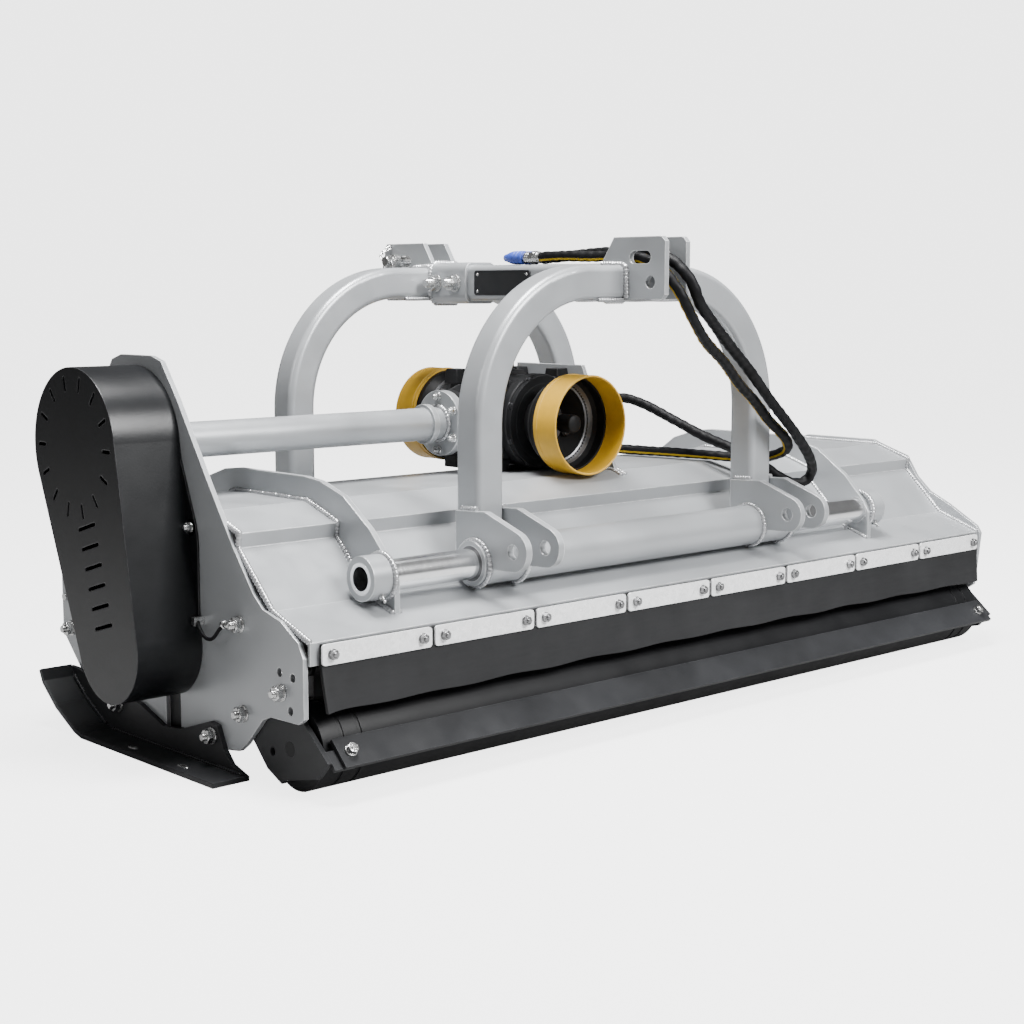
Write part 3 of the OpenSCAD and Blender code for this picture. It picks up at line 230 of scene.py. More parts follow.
def sweep(path: Array, profile: Array, up: Sequence[float] = UP, swell: Array | None = None) -> Surface:
    """A closed profile carried along a path: point = path + swell * (x * first side + y * second side).

    Args:
        path: Points in order.
        profile: Pairs (x, y) in order round the section, or one such set for each path point.
        up: The direction that the section's x keeps near.
        swell: A factor for each path point.

    Returns:
        The swept surface with both ends closed. Its places are the run along the path and round the section.
    """
    path = np.array(path, float)
    profile = np.array(profile, float)
    n, b = sides_along(path, up)
    section = np.broadcast_to(profile, (len(path), *profile.shape[-2:]))
    factor = np.ones(len(path)) if swell is None else swell
    offset = section[..., :1] * n[:, None] + section[..., 1:] * b[:, None]
    points = path[:, None] + factor[:, None, None] * offset
    cols = section.shape[1]
    round_it = np.linspace(0, 1, cols, endpoint=False)
    spread = np.stack(np.meshgrid(run_of(path), round_it, indexing="ij"), axis=-1)
    return Surface(points.reshape(-1, 3), tube_faces(len(path), cols), spread.reshape(-1, 2))


def circle(radius: float, sides: int) -> Array:
    """Points of a circle in the plane, in order."""
    return radius * np.stack([np.cos(turns(sides)), np.sin(turns(sides))], axis=1)


def prism(outline: Array, x_from: float, x_to: float) -> Surface:
    """An outline in (y, z) drawn out along X, with both ends closed.

    Args:
        outline: Points in order, in metres.
        x_from: Where it starts.
        x_to: Where it ends.

    Returns:
        The closed prism.
    """
    outline = np.array(outline, float)
    count = len(outline)
    points = np.concatenate([np.column_stack([np.full(count, x), outline]) for x in (x_from, x_to)])
    return Surface(points, tube_faces(2, count))


def smooth_route(points: Array, steps: int) -> Array:
    """A smooth curve through a route's points, as the part's own hoses follow it.

    Args:
        points: The route, in order.
        steps: Points for each stretch.

    Returns:
        Points on the curve, ends included.
    """
    last = len(points) - 1
    i = np.arange(last)
    a, b, c, d = points[np.maximum(i - 1, 0)], points[i], points[i + 1], points[np.minimum(i + 2, last)]
    t = (np.arange(steps) / steps)[None, :, None]
    a, b, c, d = a[:, None], b[:, None], c[:, None], d[:, None]
    curve = 0.5 * (2 * b + (c - a) * t + (2 * a - 5 * b + 4 * c - d) * t**2 + (3 * b - a - 3 * c + d) * t**3)
    return np.vstack([curve.reshape(-1, 3), points[-1:]])


def evenly(path: Array, pitch: float) -> Array:
    """The same path with points a pitch apart, so that rings along it have one size."""
    path = np.array(path, float)
    run = run_of(path)
    places = np.linspace(0, run[-1], max(3, int(round(run[-1] / pitch)) + 1))
    return np.stack([np.interp(places, run, path[:, k]) for k in range(3)], axis=1)


# Finishes


class Graph:
    """A material's node tree, with short calls to add nodes and links."""

    def __init__(self, name: str) -> None:
        """Starts a material with its shader."""
        self.material = bpy.data.materials.new(name)
        self.material.use_nodes = True
        self.tree = self.material.node_tree
        self.shader = self.tree.nodes["Principled BSDF"]

    def add(self, kind: str, inputs: dict | None = None, **settings: object) -> bpy.types.Node:
        """Adds a node, sets its settings, and sets or links its inputs.

        Args:
            kind: The node's type name without its ShaderNode prefix.
            inputs: Socket name or number to a value or to another node's output.
            settings: The node's own properties.

        Returns:
            The node.
        """
        node = self.tree.nodes.new("ShaderNode" + kind)
        for key, value in settings.items():
            setattr(node, key, value)
        for key, value in (inputs or {}).items():
            self.put(node, key, value)
        return node

    def put(self, node: bpy.types.Node, key: str | int, value: object) -> None:
        """Sets one input to a number or colour, or links it to an output."""
        if isinstance(value, Socket):
            self.tree.links.new(value, node.inputs[key])
        else:
            node.inputs[key].default_value = value

    def noise(self, where: Socket, scale: float, detail: float = 3.0, rough: float = 0.55) -> Socket:
        """Cloudy values from 0 to 1 on the piece's own coordinates."""
        node = self.add("TexNoise", {"Vector": where, "Scale": scale, "Detail": detail, "Roughness": rough})
        return node.outputs[0]

    def ramp(self, value: Socket, low: float, high: float, to_low: float = 0.0,
             to_high: float = 1.0) -> Socket:
        """A value stretched from one range to another and held inside it."""
        return self.add("MapRange", {0: value, 1: low, 2: high, 3: to_low, 4: to_high}).outputs[0]

    def mix(self, share: Socket, a: object, b: object) -> Socket:
        """One colour laid over another by a share."""
        return self.add("Mix", {0: share, 6: a, 7: b}, data_type="RGBA").outputs[2]

    def math(self, what: str, a: object, b: object = 0.5) -> Socket:
        """One sum on values."""
        return self.add("Math", {0: a, 1: b}, operation=what).outputs[0]

    def object_places(self) -> Socket:
        """The piece's own coordinates."""
        return self.add("TexCoord").outputs["Object"]

    def edge_mask(self, radius: float) -> Socket:
        """1 along sharp edges and 0 on flats: how far the softened normal leans from the true one."""
        soft = self.add("Bevel", {"Radius": radius}, samples=4)
        true = self.add("NewGeometry").outputs["Normal"]
        dot = self.add("VectorMath", {0: soft.outputs[0], 1: true}, operation="DOT_PRODUCT").outputs["Value"]
        return self.ramp(dot, 0.995, 0.9)

    def relief(self, height: object, strength: float, distance: float, radius: float = 0.0) -> Socket:
        """A bump from a height, on normals that are softened at edges where a radius is given."""
        node = self.add("Bump", {"Height": height, "Strength": strength, "Distance": distance})
        if radius:
            self.put(node, "Normal", self.add("Bevel", {"Radius": radius}, samples=6).outputs[0])
        return node.outputs[0]

    def dress(self, **sockets: object) -> Material:
        """Sets or links the shader's sockets, named with underscores for spaces.

        Returns:
            The finished material.
        """
        for key, value in sockets.items():
            self.put(self.shader, key.replace("_", " "), value)
        return self.material


def rgba(colour: Sequence[float], factor: float = 1.0) -> tuple[float, float, float, float]:
    """A colour times a factor, held to 1, with full cover."""
    return (*np.minimum(np.array(colour) * factor, 1.0), 1.0)


@dataclass(frozen=True)
class Paint:
    """Sprayed paint on steel: faint orange peel, cloudy tone, hazy gloss and a lighter edge colour that is
    partly worn paint and partly painted highlight.
    """

    name: str
    colour: Triple
    roughness: float = 0.4
    peel: float = 0.12
    tone: float = 0.06
    edge: Triple = (0.6, 0.61, 0.62)
    wear_and_highlight: float = 0.35
    radius: float = 0.0012
    coat: float = 0.15
    metallic: float = 0.0
    shine: float = 0.5
    haze: float = 1.0

    def make(self) -> Material:
        """Builds the material."""
        g = Graph(self.name)
        where = g.object_places()
        cloud = g.noise(where, 3.5, 4.0)
        fine = g.noise(where, 260.0, 2.0)
        dark = rgba(self.colour, 1 - self.tone)
        light = rgba(self.colour, 1 + self.tone)
        colour = g.mix(g.ramp(cloud, 0.35, 0.65), dark, light)
        # Broken lines of the edge colour along sharp edges: partly chipped paint, partly a painted highlight
        # where edges catch the light.
        broken = g.ramp(g.noise(where, 38.0, 4.0), 0.4, 0.6, 0.45, 1.0)
        chips_and_highlight = g.math("MULTIPLY", g.edge_mask(self.radius), broken)
        colour = g.mix(g.math("MULTIPLY", chips_and_highlight, self.wear_and_highlight), colour, rgba(self.edge))
        rough = g.ramp(g.noise(where, 14.0, 5.0), 0.3, 0.7, self.roughness - 0.06 * self.haze,
                       self.roughness + 0.08 * self.haze)
        normal = g.relief(fine, self.peel, 0.0004, self.radius)
        return g.dress(Base_Color=colour, Roughness=rough, Normal=normal, Metallic=self.metallic,
                       Coat_Weight=self.coat, Coat_Roughness=0.25, Specular_IOR_Level=self.shine)


@dataclass(frozen=True)
class CastPaint:
    """Painted sand casting: coarse grain under a dark coat of uneven tone."""

    name: str
    colour: Triple
    roughness: float = 0.5
    shine: float = 0.3

    def make(self) -> Material:
        """Builds the material."""
        g = Graph(self.name)
        where = g.object_places()
        grain = g.noise(where, 190.0, 5.0, 0.7)
        cloud = g.noise(where, 9.0, 4.0)
        colour = g.mix(g.ramp(cloud, 0.35, 0.7), rgba(self.colour, 0.75), rgba(self.colour, 1.5))
        rough = g.ramp(cloud, 0.3, 0.7, self.roughness - 0.1, self.roughness + 0.15)
        return g.dress(Base_Color=colour, Roughness=rough, Specular_IOR_Level=self.shine,
                       Normal=g.relief(grain, 0.35, 0.0008, 0.0025))


@dataclass(frozen=True)
class Bare:
    """Bare or plated steel: fine lines along one axis, cloudy tone and soft edges."""

    name: str
    colour: Triple
    roughness: float = 0.28
    stretch: Triple = (1.0, 1.0, 1.0)
    lines: float = 0.08
    stain: float = 0.18
    radius: float = 0.0008

    def make(self) -> Material:
        """Builds the material."""
        g = Graph(self.name)
        where = g.object_places()
        drawn = g.add("Mapping", {"Vector": where, "Scale": self.stretch}).outputs[0]
        lines = g.noise(drawn, 420.0, 2.0)
        cloud = g.noise(where, 22.0, 4.0)
        colour = g.mix(g.ramp(cloud, 0.35, 0.75), rgba(self.colour), rgba(self.colour, 1 - self.stain))
        rough = g.ramp(lines, 0.3, 0.7, self.roughness - 0.05, self.roughness + 0.07)
        return g.dress(Base_Color=colour, Roughness=rough, Metallic=1.0,
                       Normal=g.relief(lines, self.lines, 0.0002, self.radius))


@dataclass(frozen=True)
class Galvanised:
    """Galvanised sheet: flat zinc crystals a few millimetres across, each with its own tone."""

    name: str
    colour: Triple = (0.98, 0.985, 0.99)
    crystal: float = 160.0

    def make(self) -> Material:
        """Builds the material."""
        g = Graph(self.name)
        where = g.object_places()
        cells = g.add("TexVoronoi", {"Vector": where, "Scale": self.crystal}).outputs["Color"]
        tone = g.add("SeparateColor", {0: cells}).outputs[0]
        colour = g.mix(g.ramp(tone, 0, 1, 0.0, 0.5), rgba(self.colour), rgba(self.colour, 0.72))
        rough = g.ramp(tone, 0, 1, 0.22, 0.4)
        return g.dress(Base_Color=colour, Roughness=rough, Metallic=0.25,
                       Normal=g.relief(g.noise(where, 90.0), 0.06, 0.0004, 0.001))


@dataclass(frozen=True)
class Plastic:
    """Moulded plastic: fine grain, faint mottling and paler scuffs on edges."""

    name: str
    colour: Triple
    roughness: float = 0.45
    scuff: Triple = (0.8, 0.75, 0.6)
    grain: float = 0.15
    shine: float = 0.35

    def make(self) -> Material:
        """Builds the material."""
        g = Graph(self.name)
        where = g.object_places()
        cloud = g.noise(where, 11.0, 5.0, 0.65)
        colour = g.mix(g.ramp(cloud, 0.4, 0.7), rgba(self.colour), rgba(self.colour, 0.8))
        colour = g.mix(g.math("MULTIPLY", g.edge_mask(0.0015), 0.3), colour, rgba(self.scuff))
        grain = g.noise(where, 700.0, 2.0)
        rough = g.ramp(cloud, 0.3, 0.7, self.roughness - 0.05, self.roughness + 0.1)
        return g.dress(Base_Color=colour, Roughness=rough, Specular_IOR_Level=self.shine,
                       Normal=g.relief(grain, self.grain, 0.0002, 0.0012))


@dataclass(frozen=True)
class Rubber:
    """Rubber sheet: calender streaks along the sheet, dust and a dull sheen."""

    name: str
    colour: Triple = (0.0135, 0.0137, 0.0145)
    roughness: float = 0.6
    stretch: Triple = (0.15, 1.0, 1.0)

    def make(self) -> Material:
        """Builds the material."""
        g = Graph(self.name)
        where = g.object_places()
        drawn = g.add("Mapping", {"Vector": where, "Scale": self.stretch}).outputs[0]
        streak = g.noise(drawn, 45.0, 5.0, 0.6)
        dust = g.noise(where, 5.0, 5.0, 0.6)
        colour = g.mix(g.ramp(dust, 0.4, 0.75, 0.0, 0.6), rgba(self.colour), rgba(self.colour, 1.9))
        rough = g.ramp(streak, 0.3, 0.7, self.roughness - 0.1, self.roughness + 0.12)
        return g.dress(Base_Color=colour, Roughness=rough, Specular_IOR_Level=0.22,
                       Normal=g.relief(streak, 0.1, 0.0006, 0.001))


@dataclass(frozen=True)
class Sleeve:
    """Textile hose sleeve: a fine weave on the piece's own run and round, and one coloured line."""

    name: str
    colour: Triple = (0.0035, 0.0035, 0.004)
    line: Triple = (0.0035, 0.0035, 0.004)
    line_at: float = 0.36
    line_half: float = 0.035

    def make(self) -> Material:
        """Builds the material."""
        g = Graph(self.name)
        places = g.add("UVMap").outputs[0]
        parts = g.add("SeparateXYZ", {0: places})
        along = g.math("MULTIPLY", parts.outputs[0], 1400.0)
        around = g.math("MULTIPLY", parts.outputs[1], 2 * math.pi * 14)
        one = g.math("SINE", g.math("ADD", along, around))
        two = g.math("SINE", g.math("SUBTRACT", along, around))
        weave = g.math("MULTIPLY", one, two)
        band = g.math("LESS_THAN", g.math("ABSOLUTE", g.math("SUBTRACT", parts.outputs[1], self.line_at)),
                      self.line_half)
        cloud = g.noise(g.object_places(), 30.0, 4.0)
        base = g.mix(g.ramp(cloud, 0.4, 0.7), rgba(self.colour), rgba(self.colour, 2.2))
        colour = g.mix(band, base, rgba(self.line))
        return g.dress(Base_Color=colour, Roughness=0.5, Normal=g.relief(weave, 0.25, 0.0004),
                       Specular_IOR_Level=0.13)


class Stock:
    """Every finish on the machine, made once."""

    def __init__(self) -> None:
        """Builds all the materials."""
        # Each painted finish's edge colour is partly wear and partly painted highlight; the silver's white
        # edges and the guard's pale edges are mostly painted highlight.
        self.silver = Paint("silver_paint", (0.352, 0.364, 0.376), 0.34, edge=(1.0, 1.0, 1.0), wear_and_highlight=0.9,
                            radius=0.003, metallic=0.35).make()
        self.black = Paint("black_paint", (0.018, 0.0185, 0.02), 0.38, peel=0.2, tone=0.2,
                           edge=(0.07, 0.07, 0.075), wear_and_highlight=0.5, radius=0.002, coat=0.0, shine=0.22).make()
        self.roller = Paint("roller_paint", (0.008, 0.0082, 0.009), 0.44, peel=0.25, tone=0.15,
                            edge=(0.09, 0.09, 0.095), wear_and_highlight=0.5, radius=0.0015, coat=0.0, shine=0.22).make()
        self.guard = Paint("guard_paint", (0.004, 0.0044, 0.0052), 0.3, peel=0.3, tone=0.12,
                           edge=(0.16, 0.16, 0.17), wear_and_highlight=0.5, radius=0.003, coat=0.0, shine=0.36,
                           haze=0.3).make()
        self.cast = CastPaint("cast_housing", (0.006, 0.0062, 0.007)).make()
        self.yellow = Plastic("yellow_plastic", (0.6, 0.34, 0.02), 0.42).make()
        self.cone = Plastic("black_plastic", (0.005, 0.005, 0.0055), 0.5, scuff=(0.05, 0.05, 0.05),
                            shine=0.22).make()
        self.blue = Plastic("blue_plastic", (0.05, 0.09, 0.45), 0.38, scuff=(0.4, 0.5, 0.8)).make()
        self.zinc = Bare("zinc_plate", (0.66, 0.66, 0.655), 0.26).make()
        self.galvanised = Galvanised("galvanised_sheet").make()
        self.chrome = Bare("chrome_shaft", (0.95, 0.955, 0.965), 0.2, stretch=(1.0, 0.05, 0.05), lines=0.02,
                           stain=0.06).make()
        self.steel = Bare("forged_steel", (0.2, 0.2, 0.205), 0.42, stain=0.35).make()
        self.dark_steel = Bare("dark_bolt", (0.1, 0.1, 0.105), 0.35).make()
        self.dull = Bare("dull_bolt", (0.3, 0.3, 0.305), 0.3).make()
        self.rubber = Rubber("flap_rubber").make()
        self.belt = Rubber("belt_rubber", (0.012, 0.012, 0.013), 0.6, stretch=(1.0, 0.3, 0.3)).make()
        self.sleeve = Sleeve("hose_sleeve").make()
        self.lined = Sleeve("hose_sleeve_lined", line=(0.42, 0.27, 0.008)).make()
        # The weld paint is lighter than the silver it sits on: a painted sheen for the glistening beads.
        self.bead = Paint("weld_bead", (0.46, 0.465, 0.475), 0.26, peel=0.35, tone=0.25,
                          edge=(0.8, 0.8, 0.8), wear_and_highlight=0.3, radius=0.0006, coat=0.4, metallic=0.6).make()


# Pieces


@dataclass
class Shop:
    """Puts surfaces into the scene as pieces that ride on a body."""

    stock: Stock

    def piece(self, name: str, surface: Surface, finish: Material, body: Body, smooth: float = 40.0,
              replaces: Sequence[str] = (), bend: tuple | None = None) -> bpy.types.Object:
        """Makes one piece from a surface: merges doubles, points faces outwards and shades by angle.

        Args:
            name: The piece's name.
            surface: Its mesh in arrays.
            finish: Its material.
            body: The body that it rides on.
            smooth: Edges flatter than this many degrees are shaded smooth.
            replaces: The CAD nodes that it stands for.
            bend: A second body that the piece reaches to, and where it leaves the first and joins the second;
                when given, the piece is only baked in place and rides on no body.

        Returns:
            The new object.
        """
        mesh = bpy.data.meshes.new(name)
        mesh.from_pydata(surface.points.tolist(), [], surface.faces)
        if surface.places is not None:
            layer = mesh.uv_layers.new(name="UVMap")
            corners = np.empty(len(mesh.loops), int)
            mesh.loops.foreach_get("vertex_index", corners)
            layer.data.foreach_set("uv", surface.places[corners].astype(np.float32).ravel())
        work = bmesh.new()
        work.from_mesh(mesh)
        bmesh.ops.remove_doubles(work, verts=work.verts, dist=1e-6)
        bmesh.ops.recalc_face_normals(work, faces=work.faces)
        work.to_mesh(mesh)
        work.free()
        mesh.shade_smooth()
        mesh.set_sharp_from_angle(angle=math.radians(smooth))
        obj = bpy.data.objects.new(name, mesh)
        bpy.context.scene.collection.objects.link(obj)
        obj.data.materials.append(finish)
        if replaces:
            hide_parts(*replaces)
        if bend:
            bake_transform(obj)
        else:
            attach(obj, body.value)
        LOG.info("%s on %s: %d faces", name, body.value, len(mesh.polygons))
        return obj

    def coat(self, nodes: Sequence[str], finish: Material) -> None:
        """Gives CAD nodes a finish."""
        for name in nodes:
            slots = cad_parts[name].data.materials
            slots.clear()
            slots.append(finish)
            LOG.info("%s coated with %s", name, finish.name)


def soften(obj: bpy.types.Object, width: float) -> None:
    """Rounds a piece's sharp edges by a width in metres."""
    edge = obj.modifiers.new("edge", "BEVEL")
    edge.width = width
    edge.segments = 2
    edge.limit_method = "ANGLE"


@dataclass
class Hoses:
    """The two sleeved hydraulic hoses and the thin grease line, on the same routes as their solids."""

    diameter: float = 0.024
    grease: float = 0.007
    upper: tuple = (
        (-106, -72, 962), (-106, -140, 966), (-110, -220, 970), (-112, -300, 971), (-113, -370, 968),
        (-114, -430, 952), (-107, -475, 912), (-78, -478, 862), (-10, -460, 816), (70, -436, 770),
        (155, -418, 716), (240, -412, 644), (330, -406, 572), (406, -388, 514), (446, -368, 476),
        (444, -352, 450), (412, -340, 446), (378, -322, 464), (354, -294, 490), (340, -258, 510),
        (332, -220, 524), (324, -140, 548), (316, -50, 582), (306, 40, 616), (296, 110, 628),
        (290, 170, 604), (285, 215, 560), (282, 240, 515), (282, 251, 480))
    lower: tuple = (
        (-142, -72, 962), (-142, -140, 964), (-138, -220, 962), (-136, -300, 962), (-136, -370, 955),
        (-136, -424, 932), (-130, -464, 890), (-96, -470, 838), (-30, -450, 786), (50, -430, 742),
        (130, -408, 690), (210, -386, 648), (275, -374, 602), (338, -372, 558), (372, -352, 530),
        (384, -312, 512), (384, -262, 501), (374, -200, 498), (352, -120, 500), (330, -20, 501),
        (312, 70, 501), (288, 130, 503), (262, 180, 508), (243, 226, 512), (236, 247, 502),
        (236, 250, 480))
    line: tuple = ((-1066, -116, 278), (-1068, -128, 264), (-1070, -150, 252), (-1072, -176, 256),
                   (-1073, -200, 276), (-1073, -219, 288))
    pitch: float = 0.004
    steps: int = 24

    def wrinkled(self, path: Array, radius: float, seed: float) -> Surface:
        """A tube whose sleeve bunches: radius times 1 plus short waves along it that lean round it.

        Args:
            path: The centre line.
            radius: The mean radius.
            seed: A phase that makes each hose different.

        Returns:
            The tube.
        """
        run = run_of(path)[:, None]
        turn = turns(20)[None]
        wave = 0.035 * np.sin(run * 260 + 2.2 * np.sin(turn + seed + run * 9) + seed)
        wave = wave + 0.025 * np.sin(run * 173 - 1.7 * np.cos(2 * turn - seed) + 2 * seed)
        wave = wave + 0.03 * np.sin(run * 31 + seed) * np.cos(2 * turn + run * 13)
        ring = radius * (0.97 + wave)
        section = np.stack([ring * np.cos(turn), ring * np.sin(turn)], axis=-1)
        return sweep(path, section)

    def build(self, shop: Shop) -> None:
        s = shop.stock
        head, wide = Body.HEADSTOCK, self.diameter
        lines = (("upper_hose_sleeve", "upper_hose", self.upper, wide, s.sleeve, head, 0.4),
                 ("lower_hose_sleeve", "lower_hose", self.lower, wide, s.lined, head, 1.9),
                 ("grease_hose", "grease_line", self.line, self.grease, s.sleeve, Body.DECK, None))
        for name, node, points, diameter, finish, body, seed in lines:
            path = evenly(smooth_route(np.array(points, float), self.steps) * MM + SHIFT, self.pitch)
            if seed is None:
                tube = sweep(path, circle(diameter / 2, 12))
            else:
                tube = self.wrinkled(path, diameter / 2, seed)
            obj = shop.piece(name, tube, finish, body, 60.0, (node,))


# Fasteners and welds


def across(x: float) -> float:
    """A distance along the deck in millimetres from its middle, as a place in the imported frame."""
    return x * MM + SHIFT[0]


def at(x: float, y: float, z: float) -> Array:
    """A place in millimetres from the deck's middle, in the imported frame."""
    return np.array([across(x), y * MM, z * MM])


@dataclass(frozen=True)
class Fastener:
    """A hex nut on a washer with the threaded end of its stud, seated on a face."""

    thread: float
    stud: float = 1.3
    washer: float = 0.003
    grip: float = 0.02
    height: float = 0.8

    def nut(self, seat: Array, axis: Array, turn: float) -> Surface:
        """Radius at an angle and a height is the lesser of the hexagon's edge and a cone at each end.

        Args:
            seat: The middle of the nut's lower face.
            axis: The direction away from the face.
            turn: How far the hexagon is turned, in radians.

        Returns:
            The nut with its two ring faces.
        """
        flat = 0.8 * self.thread
        tall = self.height * self.thread
        rise = np.array([0, 0, 0.04, 0.09, 0.14, 0.86, 0.91, 0.96, 1, 1, 0]) * tall
        angle = turns(48)
        hexagon = flat / np.cos((angle + turn) % (np.pi / 3) - np.pi / 6)
        cone = flat * 0.985 + 1.73 * np.minimum(rise, tall - rise)
        radius = np.minimum(hexagon[None], cone[:, None])
        radius[[0, -2, -1]] = self.thread * 0.5
        points = seat + rise[:, None, None] * basis(axis)[2] + radius[..., None] * rim(axis, len(angle))
        return Surface(points.reshape(-1, 3), grid_faces(len(rise), len(angle)))

    def set(self, seat: Array, axis: Sequence[float], turn: float = 0.4) -> Surface:
        """The washer, the nut and the stud on one seat: the stud's radius waves once for each thread.

        Args:
            seat: The point on the face.
            axis: The direction away from the face.
            turn: How far the nut is turned, in radians.

        Returns:
            The three as one surface.
        """
        d, t = self.thread, self.washer
        parts = []
        if t:
            disc = [(0, d / 2), (0, 0.97 * d), (t * 0.2, d), (t * 0.75, d), (t, 0.96 * d), (t, d / 2),
                    (0, d / 2)]
            parts.append(lathe(disc, seat, axis))
        w = np.array(axis, float)
        parts.append(self.nut(seat + w * t, w, turn))
        top = t + self.stud * d
        rise = np.arange(t + self.height * d * 0.9, top - 0.12 * d, d * 0.06)
        wave = np.where(np.arange(len(rise)) % 2 == 0, 0.5 * d, 0.46 * d)
        profile = [(-self.grip, 0.0), (-self.grip, 0.49 * d), (t, 0.49 * d), *zip(rise, wave),
                   (top - 0.1 * d, 0.46 * d), (top, 0.38 * d), (top, 0.0)]
        parts.append(lathe(profile, seat, axis, 24))
        return joined(parts)


def bead(path: Sequence, width: float, up: Sequence[float] = ALONG_X) -> Surface:
    """A weld bead: a round section along a path that swells once for each ripple and drifts slowly.

    Args:
        path: Points of the seam.
        width: The section's mean radius.
        up: A side direction that isn't along the path.

    Returns:
        The bead.
    """
    pitch, ripple = 0.0018, 0.0075
    line = evenly(np.array(path, float), pitch)
    run = np.arange(len(line)) * pitch
    swell = 0.84 + 0.34 * np.abs(np.sin(run * np.pi / ripple)) + 0.07 * np.sin(run * 41.0 + line[:, 0] * 30)
    return sweep(line, circle(width, 7), up, swell)


@dataclass
class Welds:
    """Weld beads along the seams of the deck, the fins and the headstock."""

    width: float = 0.0054
    thick: float = 1.25
    thin: float = 0.8
    lift: float = 1.0
    throat: float = 1.5
    slope: tuple = ((-322.9, 322), (-217.6, 424.9), (-221.6, 452), (-124.1, 485), (124.1, 485), (221.6, 452),
                    (217.6, 424.9), (322.9, 322))
    fins: tuple = ((-804.5, -1), (636.5, 1))
    fin_t: float = 12.0
    fin_feet: tuple = ((-390, 298.5), (390, 298.5))
    bush_r: float = 43.0
    ends: tuple = (-1040.5, 1040.5)
    end_feet: tuple = ((-436, 281), (436, 281))
    stand: tuple = (32.5, 45.5)
    stand_feet: tuple = ((-152, 474.5), (214, 454.5))
    stand_top: tuple = (3, 5)
    tube: tuple = ((-1040, 37.0), (-292.5, 37.5))
    legs: tuple = (-412.5, 412.5)
    sleeve_half: float = 51.5
    sleeve_r: float = 45.5
    hitch_half: float = 36.0
    hitch_seam: tuple = ((298, 466), (345, 468))
    link_edges: tuple = (-39.5, -24.5, 24.5, 39.5)
    link_seam: tuple = ((349, 874), (348.5, 930), (346, 939), (338, 943), (280, 943.5))
    foot: tuple = (279.5, 344.5)
    foot_half: float = 118.0
    foot_z: float = 871.0
    beam_end: float = 275.5
    clamp_grow: float = 1.19
    beam_loop: tuple = ((-39, -26), (-39, 26), (-26, 39), (26, 39), (39, 26), (39, -26), (26, -39),
                        (-26, -39), (-39, -26))

    def deck_seam(self, x: float, first: tuple, last: tuple, pick: slice = slice(None)) -> Surface:
        """A bead across the deck's outside at one place along it."""
        return bead([at(x, y, z + self.lift) for y, z in (first, *self.slope[pick], last)], self.width)

    def ring(self, x: float, y: float, z: float, r: float) -> Surface:
        """A bead round a tube that lies along X."""
        turn = closed_turns(73)
        across_x = np.full(len(turn), across(x))
        path = np.column_stack([across_x, y * MM + r * MM * np.cos(turn), z * MM + r * MM * np.sin(turn)])
        return bead(path, self.width)

    def on_deck(self) -> Surface:
        """Seams of the fins, the bushes, the end plates, the gearbox stand and the drive tube."""
        parts = []
        for x, way in self.fins:
            for face in (x - way * self.throat, x + way * (self.fin_t + self.throat)):
                parts.append(self.deck_seam(face, *self.fin_feet))
            for side in (-1, 1):
                bush = x + way * (self.fin_t + self.lift)
                parts.append(self.ring(bush, side * SHAFT_Y, SHAFT_Z, self.bush_r))
        for x in self.ends:
            parts.append(self.deck_seam(x, *self.end_feet))
        for x in self.stand:
            parts.append(self.deck_seam(x, *self.stand_feet, slice(*self.stand_top)))
        for x, r in self.tube:
            parts.append(self.ring(x, CROSS_Y, CROSS_Z, r))
        return joined(parts)

    def on_headstock(self) -> Surface:
        """Seams of the hitch plates, the sleeves, the arches, the top beam and the link plates."""
        parts = []
        for side in (-1, 1):
            for leg in self.legs:
                for way in (-1, 1):
                    end = HEAD + leg + way * self.sleeve_half
                    parts.append(self.ring(end, side * SHAFT_Y, SHAFT_Z, self.sleeve_r))
                for way in (-1, 1):
                    edge = HEAD + leg + way * self.hitch_half
                    parts.append(bead([at(edge, side * y, z) for y, z in self.hitch_seam], self.width))
            for x in self.link_edges:
                seam = [at(HEAD + x, side * y, z) for y, z in self.link_seam]
                parts.append(bead(seam, self.width * self.thick))
            for y in self.foot:
                seam = [at(HEAD + x, side * y, self.foot_z) for x in (-self.foot_half, self.foot_half)]
                parts.append(bead(seam, self.width * self.thin, (0, 0, 1)))
            grow = 1.0 if side < 0 else self.clamp_grow
            loop = [at(HEAD + a * grow, side * self.beam_end, BEAM_Z + b * grow) for a, b in self.beam_loop]
            parts.append(bead(loop, self.width, (0, 1, 0)))
        return joined(parts)

    def build(self, shop: Shop) -> None:
        """Makes the beads of both bodies."""
        shop.piece("deck_welds", self.on_deck(), shop.stock.bead, Body.DECK, 60.0)
        shop.piece("headstock_welds", self.on_headstock(), shop.stock.bead, Body.HEADSTOCK, 60.0)


